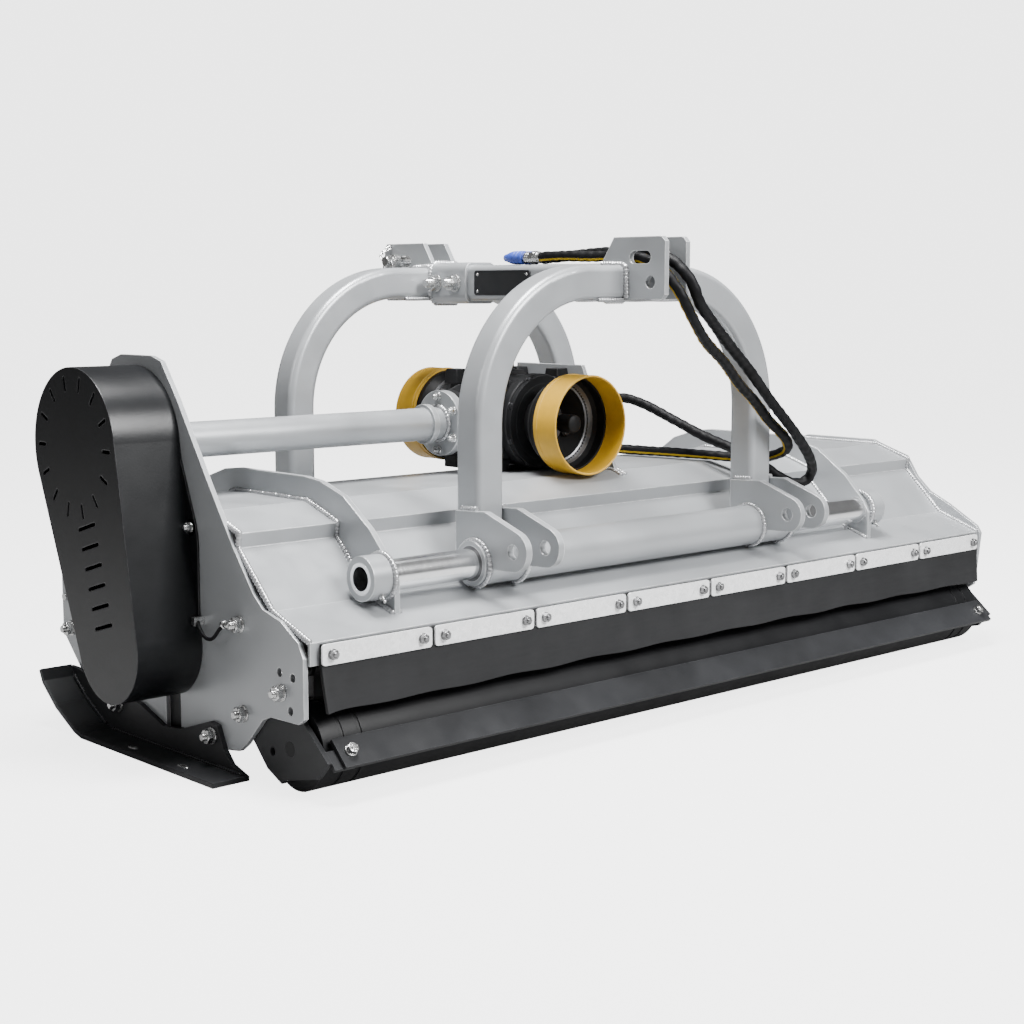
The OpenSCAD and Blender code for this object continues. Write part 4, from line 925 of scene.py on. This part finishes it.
@dataclass
class Bolts:
    """Nuts, washers and studs of the end plates, the gearbox, the beam, the flap and the scraper."""

    ends: tuple = ((-242.0, 123.0), (-362.9, 183.0), (395.0, 190.0))
    skids: tuple = ((-150.0, 66.0), (190.0, 66.0))
    tabs: tuple = ((-83.6, 451.4), (188.6, 373.6))
    skid_face: float = 1062.0
    bearing_face: float = 1042.0
    bearing_half: float = 42.43
    tab_face: float = -1056.0
    cover: tuple = (56.0, 1, 4, 45.0, 0.3)
    flange: tuple = (-291.0, -1, 6, 30.0, 0.35)
    circle_r: float = 60.0
    beam_y: tuple = (186.0, 252.0)
    beam_half: float = 47.0
    clamps: int = 8
    clamp_pitch: float = 257.0
    clamp_in: float = 26.0
    clamp_at: tuple = (-449.0, 259.0)
    scraper_x: float = 987.5
    scraper_edge: tuple = (-452.33, 104.56)
    scraper_in: float = 30.0
    scraper_t: float = 8.0

    def end_plates(self) -> Surface:
        """The fasteners outside both end plates, with the bearing screws whose heads are inside."""
        big = Fastener(0.016)
        small = Fastener(0.010)
        bearing = Fastener(0.010, stud=0.8, washer=0.0, grip=0.046)
        parts = []
        for way in (-1, 1):
            axis = np.array([way, 0.0, 0.0])
            for i, (y, z) in enumerate(self.ends):
                parts.append(big.set(at(way * PLATE_FACE, y, z), axis, 0.4 * i))
            for i, (y, z) in enumerate(self.skids):
                parts.append(big.set(at(way * self.skid_face, y, z), axis, 0.7 * i))
            for y in (-self.bearing_half, self.bearing_half):
                parts.append(bearing.set(at(way * self.bearing_face, y, AXLE_Z + self.bearing_half), -axis))
        for y, z in self.tabs:
            parts.append(small.set(at(self.tab_face, y, z), (-1, 0, 0)))
        return joined(parts)

    def gearbox(self) -> Surface:
        """The cover's four screws and the six of the drive tube's flange.

        Each set is a place along X, the way it faces, a count, the first angle and the turn from nut to nut.
        """
        small = Fastener(0.010)
        parts = []
        for x, way, count, start, turn in (self.cover, self.flange):
            for i, (y, z) in enumerate(spots_round(count, self.circle_r, start)):
                parts.append(small.set(at(x, CROSS_Y + y, CROSS_Z + z), (way, 0, 0), turn * i))
        return joined(parts)

    def beam(self) -> Surface:
        """Two long bolts through the beam: a nut and stud on the left, a plain head on the right."""
        nut = Fastener(0.020, stud=1.6, washer=0.003, grip=0.05)
        head = Fastener(0.020, stud=0.8, washer=0.0, grip=0.05)
        parts = []
        for i, y in enumerate(self.beam_y):
            parts.append(nut.set(at(HEAD - self.beam_half, y, BEAM_Z), (-1, 0, 0), 0.5 * i))
            parts.append(head.set(at(HEAD + self.beam_half, y, BEAM_Z), (1, 0, 0), 0.2))
        return joined(parts)

    def flap(self) -> Surface:
        """Two screws in each clamp plate."""
        small = Fastener(0.010, stud=1.1, washer=0.0015, grip=0.018)
        half = self.clamp_pitch / 2
        middles = [self.clamp_pitch * (i + 0.5 - self.clamps / 2) for i in range(self.clamps)]
        places = [x + way * (half - self.clamp_in) for x in middles for way in (-1, 1)]
        return joined([small.set(at(x, *self.clamp_at), (0, -1, 0), 0.4 * i) for i, x in enumerate(places)])

    def scraper(self) -> Surface:
        """One screw near each end of the scraper bar, square to its face."""
        axis = np.array([0.0, -math.sqrt(0.5), math.sqrt(0.5)])
        small = Fastener(0.012, stud=1.0, washer=0.003, grip=0.016)
        down = np.array([-1, -1]) * math.sqrt(0.5)
        spot = np.array(self.scraper_edge) + self.scraper_in * down + self.scraper_t * axis[1:]
        return joined([small.set(at(way * self.scraper_x, *spot), axis) for way in (-1, 1)])

    def build(self, shop: Shop) -> None:
        """Makes every set in place of its plain solids."""
        s = shop.stock
        shop.piece("end_plate_nuts", self.end_plates(), s.zinc, Body.DECK, 35.0, ("end_plate_bolts",))
        shop.piece("gearbox_nuts", self.gearbox(), s.zinc, Body.DECK, 35.0, ("gearbox_bolts",))
        shop.piece("beam_nuts", self.beam(), s.zinc, Body.HEADSTOCK, 35.0, ("beam_bolts",))
        shop.piece("flap_screws", self.flap(), s.dull, Body.DECK, 35.0, ("flap_bolts",))
        shop.piece("scraper_screws", self.scraper(), s.zinc, Body.ARMS, 35.0, ("scraper_bolts",))


@dataclass
class Flap:
    """The rubber flap: a thick sheet clamped at its top edge that kicks out and waves at its lower edge."""

    half: float = 1.028
    top: float = 0.278
    drop: float = 0.118
    thick: float = 0.008
    face: float = -0.437
    clamped: float = 0.33
    kick: float = 0.0095
    wave: float = 0.003
    ripple: float = 0.0012
    curl: float = 0.012
    sag: float = 0.0025
    nick: float = 0.0015
    cut: float = 0.007

    def sheet(self) -> Surface:
        """Depth at (x, t) is the kick below the lip, slow waves and an end's curl that grow downwards.

        Returns:
            A closed sheet: the outer face, the lower edge, the inner face and the top edge as one loop.
        """
        rows = 22
        x = np.linspace(-1, 1, 240)
        t = np.concatenate([np.linspace(0, 1, rows), np.linspace(1, 0, rows)])
        side = np.concatenate([np.full(rows, -self.thick), np.zeros(rows)])
        x2, t2 = np.meshgrid(x, t, indexing="ij")
        free = np.clip((t2 - self.clamped) / (1 - self.clamped), 0, 1)
        kick = self.kick * free + self.wave * free * np.sin(5.1 * x2 + 0.6)
        kick = kick + self.ripple * free**2 * np.sin(23 * x2)
        curl = self.curl * np.clip((-x2 - 0.93) / 0.07, 0, 1) ** 2 * free
        low = self.sag * np.sin(3.3 * x2 + 1) * free + self.nick * free * np.sin(31 * x2)
        cut = np.where(x2 < -0.98, self.cut * (1 - t2) * (x2 + 0.98) / -0.02, 0)
        depth = self.face - kick - curl + side[None]
        points = np.stack([x2 * self.half + cut, depth, self.top - t2 * self.drop + low], axis=-1)
        return Surface(points.reshape(-1, 3) + SHIFT, tube_faces(len(x), len(t)))

    def build(self, shop: Shop) -> None:
        """Makes the flap in place of its plain solid."""
        obj = shop.piece("rubber_flap", self.sheet(), shop.stock.rubber, Body.DECK, 50.0, ("rear_flap",))
        soften(obj, 0.0008)


@dataclass
class Headgear:
    """Small things on the headstock: couplers, caps, the bare plate, the link pin's ring and its chain."""

    couplers_at: tuple = (HEAD - 18, HEAD + 18)
    coupler_z: float = 962.3
    sign_box: tuple = (-60.0, 125.0, 879.0, 935.0)
    sign_face: float = HEAD - 40
    sign_corner: float = 7.0
    rivet_in: tuple = (11.0, 9.0)
    rivet_face: float = HEAD - 42.4
    pin_at: tuple = (HEAD, 402.5, 958.0)
    ring_at: tuple = (-0.070, -0.012)
    ring_r: float = 0.017
    links: int = 5

    def couplers(self) -> Surface:
        """Two turned quick couplers with hexagon bodies, knurl rings and necks."""
        profile = [(0, 0.0), (0, 9.5), (4, 10.5), (8, 10.5), (8, 12.6), (9, 13), (16, 13), (16, 11), (30, 11),
                   (31, 12.5), (34, 12.5), (35, 11.5), (37, 12.5), (40, 12.5), (41, 11.5), (43, 12.5),
                   (46, 12.5), (47, 11), (58, 11), (60, 10), (62, 10), (62, 0.0)]
        nut = Fastener(0.0165, stud=0.8, washer=0.0, grip=0.0, height=0.9)
        parts = []
        for x in self.couplers_at:
            base = at(x, -72, self.coupler_z)
            parts.append(turned(profile, base, (0, 1, 0), 40))
            parts.append(nut.nut(base + np.array([0, 0.016, 0]), (0, 1, 0), 0.2))
        return joined(parts)

    def caps(self) -> Surface:
        """Two ribbed blue caps: radius is a dome with ribs round it."""
        profile = [(-8, 0.0), (-8, 14.6), (0, 15), (3, 15), (4, 13.8), (7, 13.8), (8, 15), (12, 15),
                   (13, 13.8), (16, 13.8), (17, 15), (24, 14.8), (31, 14), (40, 11.5), (48, 9), (54, 8),
                   (56, 6.5), (56, 0.0)]
        return joined([turned(profile, at(x, -10, self.coupler_z), (0, 1, 0), 36) for x in self.couplers_at])

    def sign(self) -> tuple[Surface, Surface]:
        """The bare plate with rounded corners and a rim, and its four rivets.

        Returns:
            The plate and the rivets.
        """
        y0, y1, z0, z1 = self.sign_box
        r = self.sign_corner
        corner = [(y1 - r, z1 - r, 0), (y0 + r, z1 - r, 90), (y0 + r, z0 + r, 180), (y1 - r, z0 + r, 270)]
        middle = np.array([(y0 + y1) / 2, (z0 + z1) / 2])
        outline = []
        for y, z, start in corner:
            turn = np.radians(np.linspace(0, 90, 9) + start)
            outline.append(np.column_stack([y + r * np.cos(turn), z + r * np.sin(turn)]))
        outline = np.vstack(outline) - middle
        count = len(outline)
        rings = []
        for x, share in ((0.0, 1.0), (-2.2, 1.0), (-3.0, 0.99), (-3.0, 0.965), (-2.4, 0.955)):
            drawn_in = middle + outline * np.array([1 - (1 - share) * 0.55, share])
            rings.append(np.column_stack([np.full(count, across(self.sign_face + x)), drawn_in * MM]))
        plate = Surface(np.vstack(rings), tube_faces(len(rings), count))
        dome = [(-3, 0.0), (-3, 3.6), (0, 3.6), (0.8, 3.2), (1.5, 2.0), (1.8, 0.0)]
        in_y, in_z = self.rivet_in
        spots = [at(self.rivet_face, y, z) for y in (y0 + in_y, y1 - in_y) for z in (z0 + in_z, z1 - in_z)]
        return plate, joined([turned(dome, spot, (-1, 0, 0), 20) for spot in spots])

    def link(self, middle: Array, along: Array, flat: Array, length: float, wire: float) -> Surface:
        """One chain link: a round wire carried round a stadium."""
        turn = closed_turns(29)
        bend = 1.8 * wire
        half = length / 2 - bend
        run = np.cos(turn) * bend + np.sign(np.cos(turn)) * half
        path = middle + along * run[:, None] + flat * (np.sin(turn) * bend)[:, None]
        return sweep(path, circle(wire, 8), np.cross(along, flat))

    def chain_ends(self) -> tuple[Array, Array]:
        """Where the chain starts, on the far plate's upper corner, and where it meets the pin's ring."""
        return at(HEAD - 42, 428, 993), at(HEAD - 71, 411, 957)

    def chain(self) -> Surface:
        """A short chain between its two ends that bows outwards, with links turned in turn."""
        start, end = self.chain_ends()
        t = np.linspace(0, 1, self.links + 1)
        line = start + (end - start) * t[:, None]
        line[:, 0] -= 0.012 * np.sin(np.pi * t)
        line[:, 1] += 0.010 * np.sin(np.pi * t)
        parts = []
        for i in range(self.links):
            along = line[i + 1] - line[i]
            along = along / np.linalg.norm(along)
            u, v, _ = basis(along)
            parts.append(self.link((line[i] + line[i + 1]) / 2, along, u if i % 2 else v, 0.0165, 0.0019))
        return joined(parts)

    def pin(self) -> Surface:
        """The top-link pin: a turned rod with a collar, a drilled head and a spring ring through it."""
        middle = at(*self.pin_at)
        profile = [(-80, 0), (-80, 11), (-78, 12.5), (-60, 12.5), (-59, 16.5), (-40, 16.5), (-38.5, 15),
                   (-38.5, 12.5), (52, 12.5), (58, 9), (58, 0)]
        turn = closed_turns(41)
        off, drop = self.ring_at
        loop = self.ring_r * np.column_stack([np.cos(turn), np.sin(turn)]) + (0, drop)
        ring = np.column_stack([np.full(len(turn), off), loop])
        rod = turned(profile, middle, ALONG_X, 40)
        return joined([rod, sweep(middle + ring, circle(0.002, 10), ALONG_X)])

    def build(self, shop: Shop) -> None:
        """Makes the small things; all but the chain ride on their bodies, and the chain is baked in place."""
        s = shop.stock
        shop.piece("quick_couplers", self.couplers(), s.zinc, Body.HEADSTOCK, 30.0, ("hose_couplers",))
        shop.piece("coupler_caps", self.caps(), s.blue, Body.HEADSTOCK, 30.0, ("dust_caps",))
        plate, rivets = self.sign()
        shop.piece("bare_plate", plate, s.black, Body.HEADSTOCK, 30.0, ("name_plate",))
        shop.piece("plate_rivets", rivets, s.zinc, Body.HEADSTOCK, 50.0)
        bend = (Body.LINK_PIN, *self.chain_ends())
        shop.piece("pin_chain", self.chain(), s.zinc, Body.HEADSTOCK, 60.0, bend=bend)
        shop.piece("link_pin", self.pin(), s.zinc, Body.LINK_PIN, 30.0, ("top_link_pin",))


def block(low: Sequence[float], high: Sequence[float], lean: float = 0.0) -> Surface:
    """A box between two corners whose top is drawn in by a share of its width, as a pattern's draft."""
    (x0, y0, z0), (x1, y1, z1) = low, high
    dx, dy = (x1 - x0) * lean, (y1 - y0) * lean
    ring = [(0, 0), (1, 0), (1, 1), (0, 1)]
    under = [at((x0, x1)[i], (y0, y1)[j], z0) for i, j in ring]
    over = [at((x0 + dx, x1 - dx)[i], (y0 + dy, y1 - dy)[j], z1) for i, j in ring]
    return Surface(np.array(under + over), tube_faces(2, 4))


@dataclass
class Gearbox:
    """What shows on the casting and inside the shields: lugs, ribs, plugs, linings and the shaft's cap."""

    x: float = -84.0
    y: float = CROSS_Y
    z: float = CROSS_Z
    half: float = 125.0
    lug_x: tuple = ((-198, -158), (-10, 30))
    lug_y: tuple = ((15, 60), (150, 195))
    lug_z: tuple = (82, 116)
    foot_z: tuple = (-110, -82)
    pad: tuple = ((-120, 70, 98), (-48, 140, 114))
    rib: tuple = ((-254, 50), (-254, 71), (-205, 88), (-190, 88), (-190, 50))
    rib_half: float = 4.0
    screw_r: float = 99.0
    clamp_r: float = 60.0
    stub: float = 96.0
    shield: float = 149.0

    def casting(self) -> Surface:
        """Top and bottom lugs, bearing rings on both shield faces and ribs along the neck."""
        parts = []
        for x0, x1 in self.lug_x:
            for y0, y1 in self.lug_y:
                for (z0, z1), lean in ((self.lug_z, 0.08), (self.foot_z, 0.0)):
                    parts.append(block((x0, y0, self.z + z0), (x1, y1, self.z + z1), lean))
        (x0, y0, z0), (x1, y1, z1) = self.pad
        parts.append(block((x0, y0, self.z + z0), (x1, y1, self.z + z1), 0.12))
        ring = [(-40, 97), (-40, 108), (-14, 108), (-12, 106), (-12, 92), (-2, 90), (0.5, 87), (0.5, 60),
                (-40, 60), (-40, 97)]
        for way in (-1, 1):
            parts.append(turned(ring, at(self.x, self.y + way * self.half, self.z), (0, way, 0), 64))
        for c, s in spots_round(8, 1.0, 22.5):
            sides = []
            for w in (-self.rib_half, self.rib_half):
                sides += [at(x, self.y + c * r - s * w, self.z + s * r + c * w) for x, r in self.rib]
            parts.append(Surface(np.array(sides), tube_faces(2, len(self.rib))))
        return joined(parts)

    def screws(self) -> Surface:
        """Ring screws round both bearing faces, and the filler plug."""
        parts = []
        small = Fastener(0.010, stud=0.8, washer=0.0015, grip=0.01)
        for way in (-1, 1):
            for i, (x, z) in enumerate(spots_round(8, self.screw_r, 22.5)):
                spot = at(self.x + x, self.y + way * (self.half - 12), self.z + z)
                parts.append(small.set(spot, (0, way, 0), 0.3 * i))
        plug = Fastener(0.018, stud=0.9, washer=0.002, grip=0.01)
        parts.append(plug.set(at(self.x, self.y, self.z + self.pad[1][2]), (0, 0, 1)))
        return joined(parts)

    def linings(self) -> Surface:
        """Inside each shield: a bright retaining ring, the seal carrier and three clamp screws."""
        ring = [(36, 84), (36, 91), (40, 92), (52, 97), (53, 95), (42, 88), (40, 84), (36, 84)]
        seal = [(0, 30), (0, 47), (6, 47), (8, 45), (8, 33), (0, 30)]
        screw = Fastener(0.009, stud=1.0, washer=0.0015, grip=0.006)
        parts = []
        for way in (-1, 1):
            axis = (0, way, 0)
            face = self.half + 6
            middle = at(self.x, self.y + way * face, self.z)
            parts.append(turned(ring, middle, axis, 72))
            parts.append(turned(seal, middle, axis, 48))
            for x, z in spots_round(3, self.clamp_r, 215):
                parts.append(screw.set(at(self.x + x, self.y + way * (face + 4), self.z + z), axis))
        return joined(parts)

    def caps(self) -> Surface:
        """A black push-on cap over the end of each splined stub."""
        dome = [(-34, 0.0), (-34, 21), (-2, 20.5), (3, 19), (6, 14), (7, 0.0)]
        reach = self.half + self.stub
        ends = [(way, at(self.x, self.y + way * reach, self.z)) for way in (-1, 1)]
        return joined([turned(dome, end, (0, way, 0), 40) for way, end in ends])

    def lips(self) -> Surface:
        """A rolled lip on the open end of each shield and a raised seam ring at its other end."""
        roll = closed_turns(13)
        lip = np.column_stack([2.2 * np.cos(roll) - 1.2, 108.2 + 2.2 * np.sin(roll)])
        seam = np.column_stack([1.5 * np.cos(roll) - 58, 109.9 + 1.2 * np.sin(roll)])
        parts = []
        for way in (-1, 1):
            end = at(self.x, self.y + way * (self.half + self.shield), self.z)
            parts += [turned(ring, end, (0, way, 0), 96) for ring in (lip, seam)]
        return joined(parts)

    def build(self, shop: Shop) -> None:
        """Makes the gearbox's details."""
        s = shop.stock
        lugs = shop.piece("casting_lugs", self.casting(), s.cast, Body.DECK, 35.0)
        soften(lugs, 0.002)
        shop.piece("casting_screws", self.screws(), s.dark_steel, Body.DECK, 35.0)
        shop.piece("shield_linings", self.linings(), s.steel, Body.DECK, 35.0)
        shop.piece("stub_caps", self.caps(), s.cone, Body.PTO, 35.0)
        shop.piece("shield_lips", self.lips(), s.yellow, Body.DECK, 60.0)


@dataclass
class GuardFlange:
    """The guard's mounting webs: flat plates on the end plate that swell from its side to each screw."""

    upper: tuple = (CROSS_Y, CROSS_Z, 152.0)
    lower: tuple = (AXLE_Y, AXLE_Z, 109.0)
    thick: float = 4.0

    def web(self, way: float) -> Surface:
        """A plate between the guard's straight side and a line that leaves it, passes the screw and returns.

        Args:
            way: 1 for the near side and -1 for the far side.

        Returns:
            The plate.
        """
        a, b = np.array(self.upper[:2]), np.array(self.lower[:2])
        run = (b - a) / np.linalg.norm(b - a)
        lean = math.acos((self.upper[2] - self.lower[2]) / np.linalg.norm(b - a))
        out = run * math.cos(lean) - way * np.array([-run[1], run[0]]) * math.sin(lean)
        first, last = a + out * self.upper[2], b + out * self.lower[2]
        shares = np.array([(0.12, -6), (0.12, 0), (0.44, 26), (0.5, 28), (0.56, 26), (0.95, 0), (0.95, -6)])
        line = first + shares[:, :1] * (last - first) + shares[:, 1:] * out
        return prism(line * MM, across(-PLATE_FACE - self.thick), across(-PLATE_FACE))

    def build(self, shop: Shop) -> None:
        """Makes both webs."""
        shop.piece("guard_webs", joined([self.web(1), self.web(-1)]), shop.stock.guard, Body.DECK, 30.0)


@dataclass
class Grease:
    """Grease nipples on the bushes and the bulkhead fitting that the grease hose ends in."""

    bushes: tuple = (-841.5, 673.5)
    bush_r: float = 0.0424
    bulkhead: tuple = (-PLATE_FACE, -235, 288)
    elbow: tuple = ((-1076, -235, 288), (-1077, -228, 288), (-1074, -216, 287.5))
    box: tuple = ((-1074, -118, 270), (-1052, -106.7, 286))

    def nipple(self, seat: Array, axis: Array) -> Surface:
        """A hexagon base, a cone and a ball with a flat tip."""
        body = Fastener(0.0075, stud=0.8, washer=0.0, grip=0.002, height=0.7).nut(seat, axis, 0.1)
        tip = [(-2, 0), (-2, 3.7), (5, 3.7), (6, 3.0), (10, 2.2), (11, 2.3), (13, 3.2), (15, 3.2),
               (16.5, 2.0), (16.5, 0)]
        return joined([body, turned(tip, seat, axis, 20)])

    def fittings(self) -> Surface:
        """All nipples, the bulkhead's nuts and body, and the block where the hose starts."""
        parts = []
        for x in self.bushes:
            for way in (-1, 1):
                axis = np.array([0, way * math.sqrt(0.5), -math.sqrt(0.5)])
                parts.append(self.nipple(at(x, way * SHAFT_Y, SHAFT_Z) + axis * self.bush_r, axis))
        through = Fastener(0.016, stud=1.5, washer=0.003, grip=0.012)
        parts.append(through.set(at(*self.bulkhead), (-1, 0, 0), 0.3))
        elbow = evenly(np.array([at(*p) for p in self.elbow]), 0.002)
        parts.append(sweep(elbow, circle(0.0052, 14), (0, 0, 1)))
        nut = Fastener(0.0085, stud=0.8, washer=0.0, grip=0.0, height=0.9)
        parts.append(nut.nut(at(-1074.5, -219, 287.8), (0.2, 0.97, 0.0), 0.2))
        parts.append(block(*self.box))
        return joined(parts)

    def build(self, shop: Shop) -> None:
        """Makes the fittings in place of their plain solids."""
        shop.piece("grease_nipples", self.fittings(), shop.stock.zinc, Body.DECK, 35.0, ("grease_fittings",))


@dataclass
class Bearing:
    """The domed cover on the rotor's outer bearing at the plain end, with its nuts."""

    face: float = 1088.0
    ring: float = 60.0
    rise: float = 7.0

    def cover(self) -> Surface:
        """A turned cap: a flange on the bearing's face that rises to a low dome over the shaft's end."""
        dome = [(0, 0.0), (0, 72), (5, 72), (7, 70), (7, 50), (9, 47.5), (16, 45), (21, 38), (24, 24),
                (25, 0.0)]
        return turned(dome, at(self.face, AXLE_Y, AXLE_Z), ALONG_X, 64)

    def nuts(self) -> Surface:
        """Four nuts round the flange."""
        small = Fastener(0.010, stud=1.2, washer=0.0015, grip=0.006)
        spots = [at(self.face + self.rise, AXLE_Y + y, AXLE_Z + z) for y, z in spots_round(4, self.ring, 45)]
        return joined([small.set(spot, ALONG_X, 0.5 * i) for i, spot in enumerate(spots)])

    def build(self, shop: Shop) -> None:
        """Makes the cover and its nuts."""
        shop.piece("bearing_cover", self.cover(), shop.stock.cast, Body.DECK, 35.0)
        shop.piece("cover_nuts", self.nuts(), shop.stock.zinc, Body.DECK, 35.0)


@dataclass
class Skids:
    """Weld marks on the skids, the plug welds along the runner and the covers of the end plates' slots."""

    face: float = 1063.5
    reach: float = 408.0
    tall: float = 112.0
    nose: tuple = ((0.62, 0.07), (0.8, 0.4), (0.93, 0.78))
    runner_x: float = 1108.0
    plug_y: tuple = (-120, 60)
    plug_long: float = 2.6
    slot_x: tuple = (1036.0, 1041.5)
    slot: tuple = ((-36, 40), (36, 40), (36, 176), (24, 190), (-24, 190), (-36, 176))

    def marks(self) -> Surface:
        """Beads along the nose's inside corner and short beads on the runner's upper face."""
        parts = []
        for way in (-1, 1):
            line = [at(way * self.face, y * self.reach - 12, z * self.tall + 9) for y, z in self.nose]
            parts.append(bead(line, 0.0032))
            parts.append(bead([at(way * self.face, y, 11.5) for y in (-250, 210)], 0.0028))
        return joined(parts)

    def plugs(self) -> Surface:
        """Two ground plug welds on each runner: a low dome stretched along the runner."""
        profile = [(-1, 0.0), (-1, 7), (0.3, 6.6), (1.0, 4), (1.2, 0.0)]
        parts = []
        for way in (-1, 1):
            for y in self.plug_y:
                dome = turned(profile, (0, 0, 0), (0, 0, 1), 24)
                dome.points[:, 1] *= self.plug_long
                dome.points += at(way * self.runner_x, y, 10.2)
                parts.append(dome)
        return joined(parts)

    def covers(self) -> Surface:
        """A plate inside each end plate that closes the slot under the rotor shaft."""
        outline = np.array(self.slot) * MM
        return joined([prism(outline, *(across(way * x) for x in self.slot_x)) for way in (-1, 1)])

    def build(self, shop: Shop) -> None:
        """Makes the marks, the plugs and the covers."""
        shop.piece("skid_welds", self.marks(), shop.stock.black, Body.DECK, 60.0)
        shop.piece("skid_plugs", self.plugs(), shop.stock.zinc, Body.DECK, 60.0)
        shop.piece("slot_covers", self.covers(), shop.stock.black, Body.DECK, 30.0)


@dataclass(frozen=True)
class Studio:
    """White floor, soft light and the photograph's camera."""

    place: Triple = (-2.748, -2.850, 0.891)
    look: Triple = (0.67036, 0.73102, -0.12727)
    lens: float = 60.8
    air: float = 0.15
    glow: float = 0.05
    seen: float = 3.4
    pale: float = 0.32
    floor: float = 40.0

    def light(self, name: str, place: Triple, to: Triple, size: float, power: float) -> None:
        """Adds a square soft light that faces a point."""
        lamp = bpy.data.lights.new(name, "AREA")
        lamp.size = size
        lamp.energy = power
        obj = bpy.data.objects.new(name, lamp)
        obj.location = place
        obj.rotation_euler = (Vector(to) - Vector(place)).to_track_quat("-Z", "Y").to_euler()
        bpy.context.scene.collection.objects.link(obj)

    def sky(self) -> None:
        """Even light from all round, which the camera sees as pale as the far floor."""
        world = bpy.data.worlds.new("studio")
        world.use_nodes = True
        tree = world.node_tree
        back = tree.nodes["Background"]
        back.inputs[0].default_value = rgba((1.0, 1.0, 1.0))
        path = tree.nodes.new("ShaderNodeLightPath")
        share = tree.nodes.new("ShaderNodeMapRange")
        share.inputs[3].default_value = self.air
        share.inputs[4].default_value = self.pale * self.air + self.glow + self.seen
        tree.links.new(path.outputs["Is Camera Ray"], share.inputs[0])
        tree.links.new(share.outputs[0], back.inputs[1])
        bpy.context.scene.world = world

    def build(self) -> None:
        """Makes the floor, the lights, the world and the camera."""
        mesh = bpy.data.meshes.new("floor")
        r = self.floor
        mesh.from_pydata([(-r, -r, 0), (r, -r, 0), (r, r, 0), (-r, r, 0)], [], [(0, 1, 2, 3)])
        floor = bpy.data.objects.new("floor", mesh)
        bpy.context.scene.collection.objects.link(floor)
        g = Graph("floor_white")
        seen = g.add("LightPath").outputs["Is Camera Ray"]
        glow = g.ramp(seen, 0.0, 1.0, self.glow, self.glow + self.seen)
        white = rgba((1.0, 1.0, 1.0))
        mesh.materials.append(g.dress(Base_Color=rgba((self.pale,) * 3), Roughness=0.9,
                                      Emission_Strength=glow, Emission_Color=white))
        self.sky()
        self.light("key", (0.7, -4.3, 3.5), (0.1, 0.0, 0.35), 2.0, 560.0)
        self.light("top", (-0.5, -0.2, 4.4), (0.0, 0.0, 0.4), 1.6, 590.0)
        self.light("left", (-4.2, 0.4, 2.4), (-0.8, 0.0, 0.5), 1.2, 24.0)
        lens = bpy.data.cameras.new("camera")
        lens.lens = self.lens
        lens.sensor_width = 36.0
        camera = bpy.data.objects.new("camera", lens)
        camera.location = self.place
        camera.rotation_euler = Vector(self.look).to_track_quat("-Z", "Y").to_euler()
        bpy.context.scene.collection.objects.link(camera)
        bpy.context.scene.camera = camera


def coat_solids(shop: Shop) -> None:
    """Gives every CAD node its finish."""
    s = shop.stock
    coats = (
        (s.silver, "deck_shell drive_end_plate plain_end_plate guide_fins shaft_bushes gearbox_stand"),
        (s.silver, "drive_tube rear_arch front_arch guide_sleeves rear_clevises front_clevises top_beam"),
        (s.silver, "beam_clamp rear_link_plates front_link_plates"),
        (s.black, "left_skid right_skid roller_arms scraper_bar rotor_drum front_flaps cylinder_barrel"),
        (s.black, "name_plate"),
        (s.roller, "roller"),
        (s.guard, "belt_guard"),
        (s.cast, "gearbox_housing gearbox_cover"),
        (s.yellow, "rear_pto_shield front_pto_shield"),
        (s.cone, "shield_bases"),
        (s.blue, "dust_caps"),
        (s.zinc, "gearbox_bolts end_plate_bolts flap_bolts front_flap_rod grease_fittings beam_bolts"),
        (s.zinc, "hose_couplers top_link_pin flail_pins scraper_bolts"),
        (s.galvanised, "flap_clamps"),
        (s.chrome, "guide_shafts cylinder_rod"),
        (s.steel, "shaft_bearings slide_bushes rotor_pulley flail_row_low flail_row_front flail_row_rear"),
        (s.steel, "cross_shaft drive_pulley pto_shaft crown_wheel"),
        (s.belt, "drive_belts"),
        (s.rubber, "rear_flap"),
    )
    for finish, nodes in coats:
        shop.coat(nodes.split(), finish)


def main() -> None:
    """Builds every sub-assembly in order."""
    logging.basicConfig(level=logging.INFO, format="%(message)s")
    shop = Shop(Stock())
    Studio().build()
    coat_solids(shop)
    for assembly in (Hoses, Welds, Bolts, Flap, Headgear, Gearbox, GuardFlange, Grease, Bearing, Skids):
        assembly().build(shop)


if __name__ == "__main__":
    main()
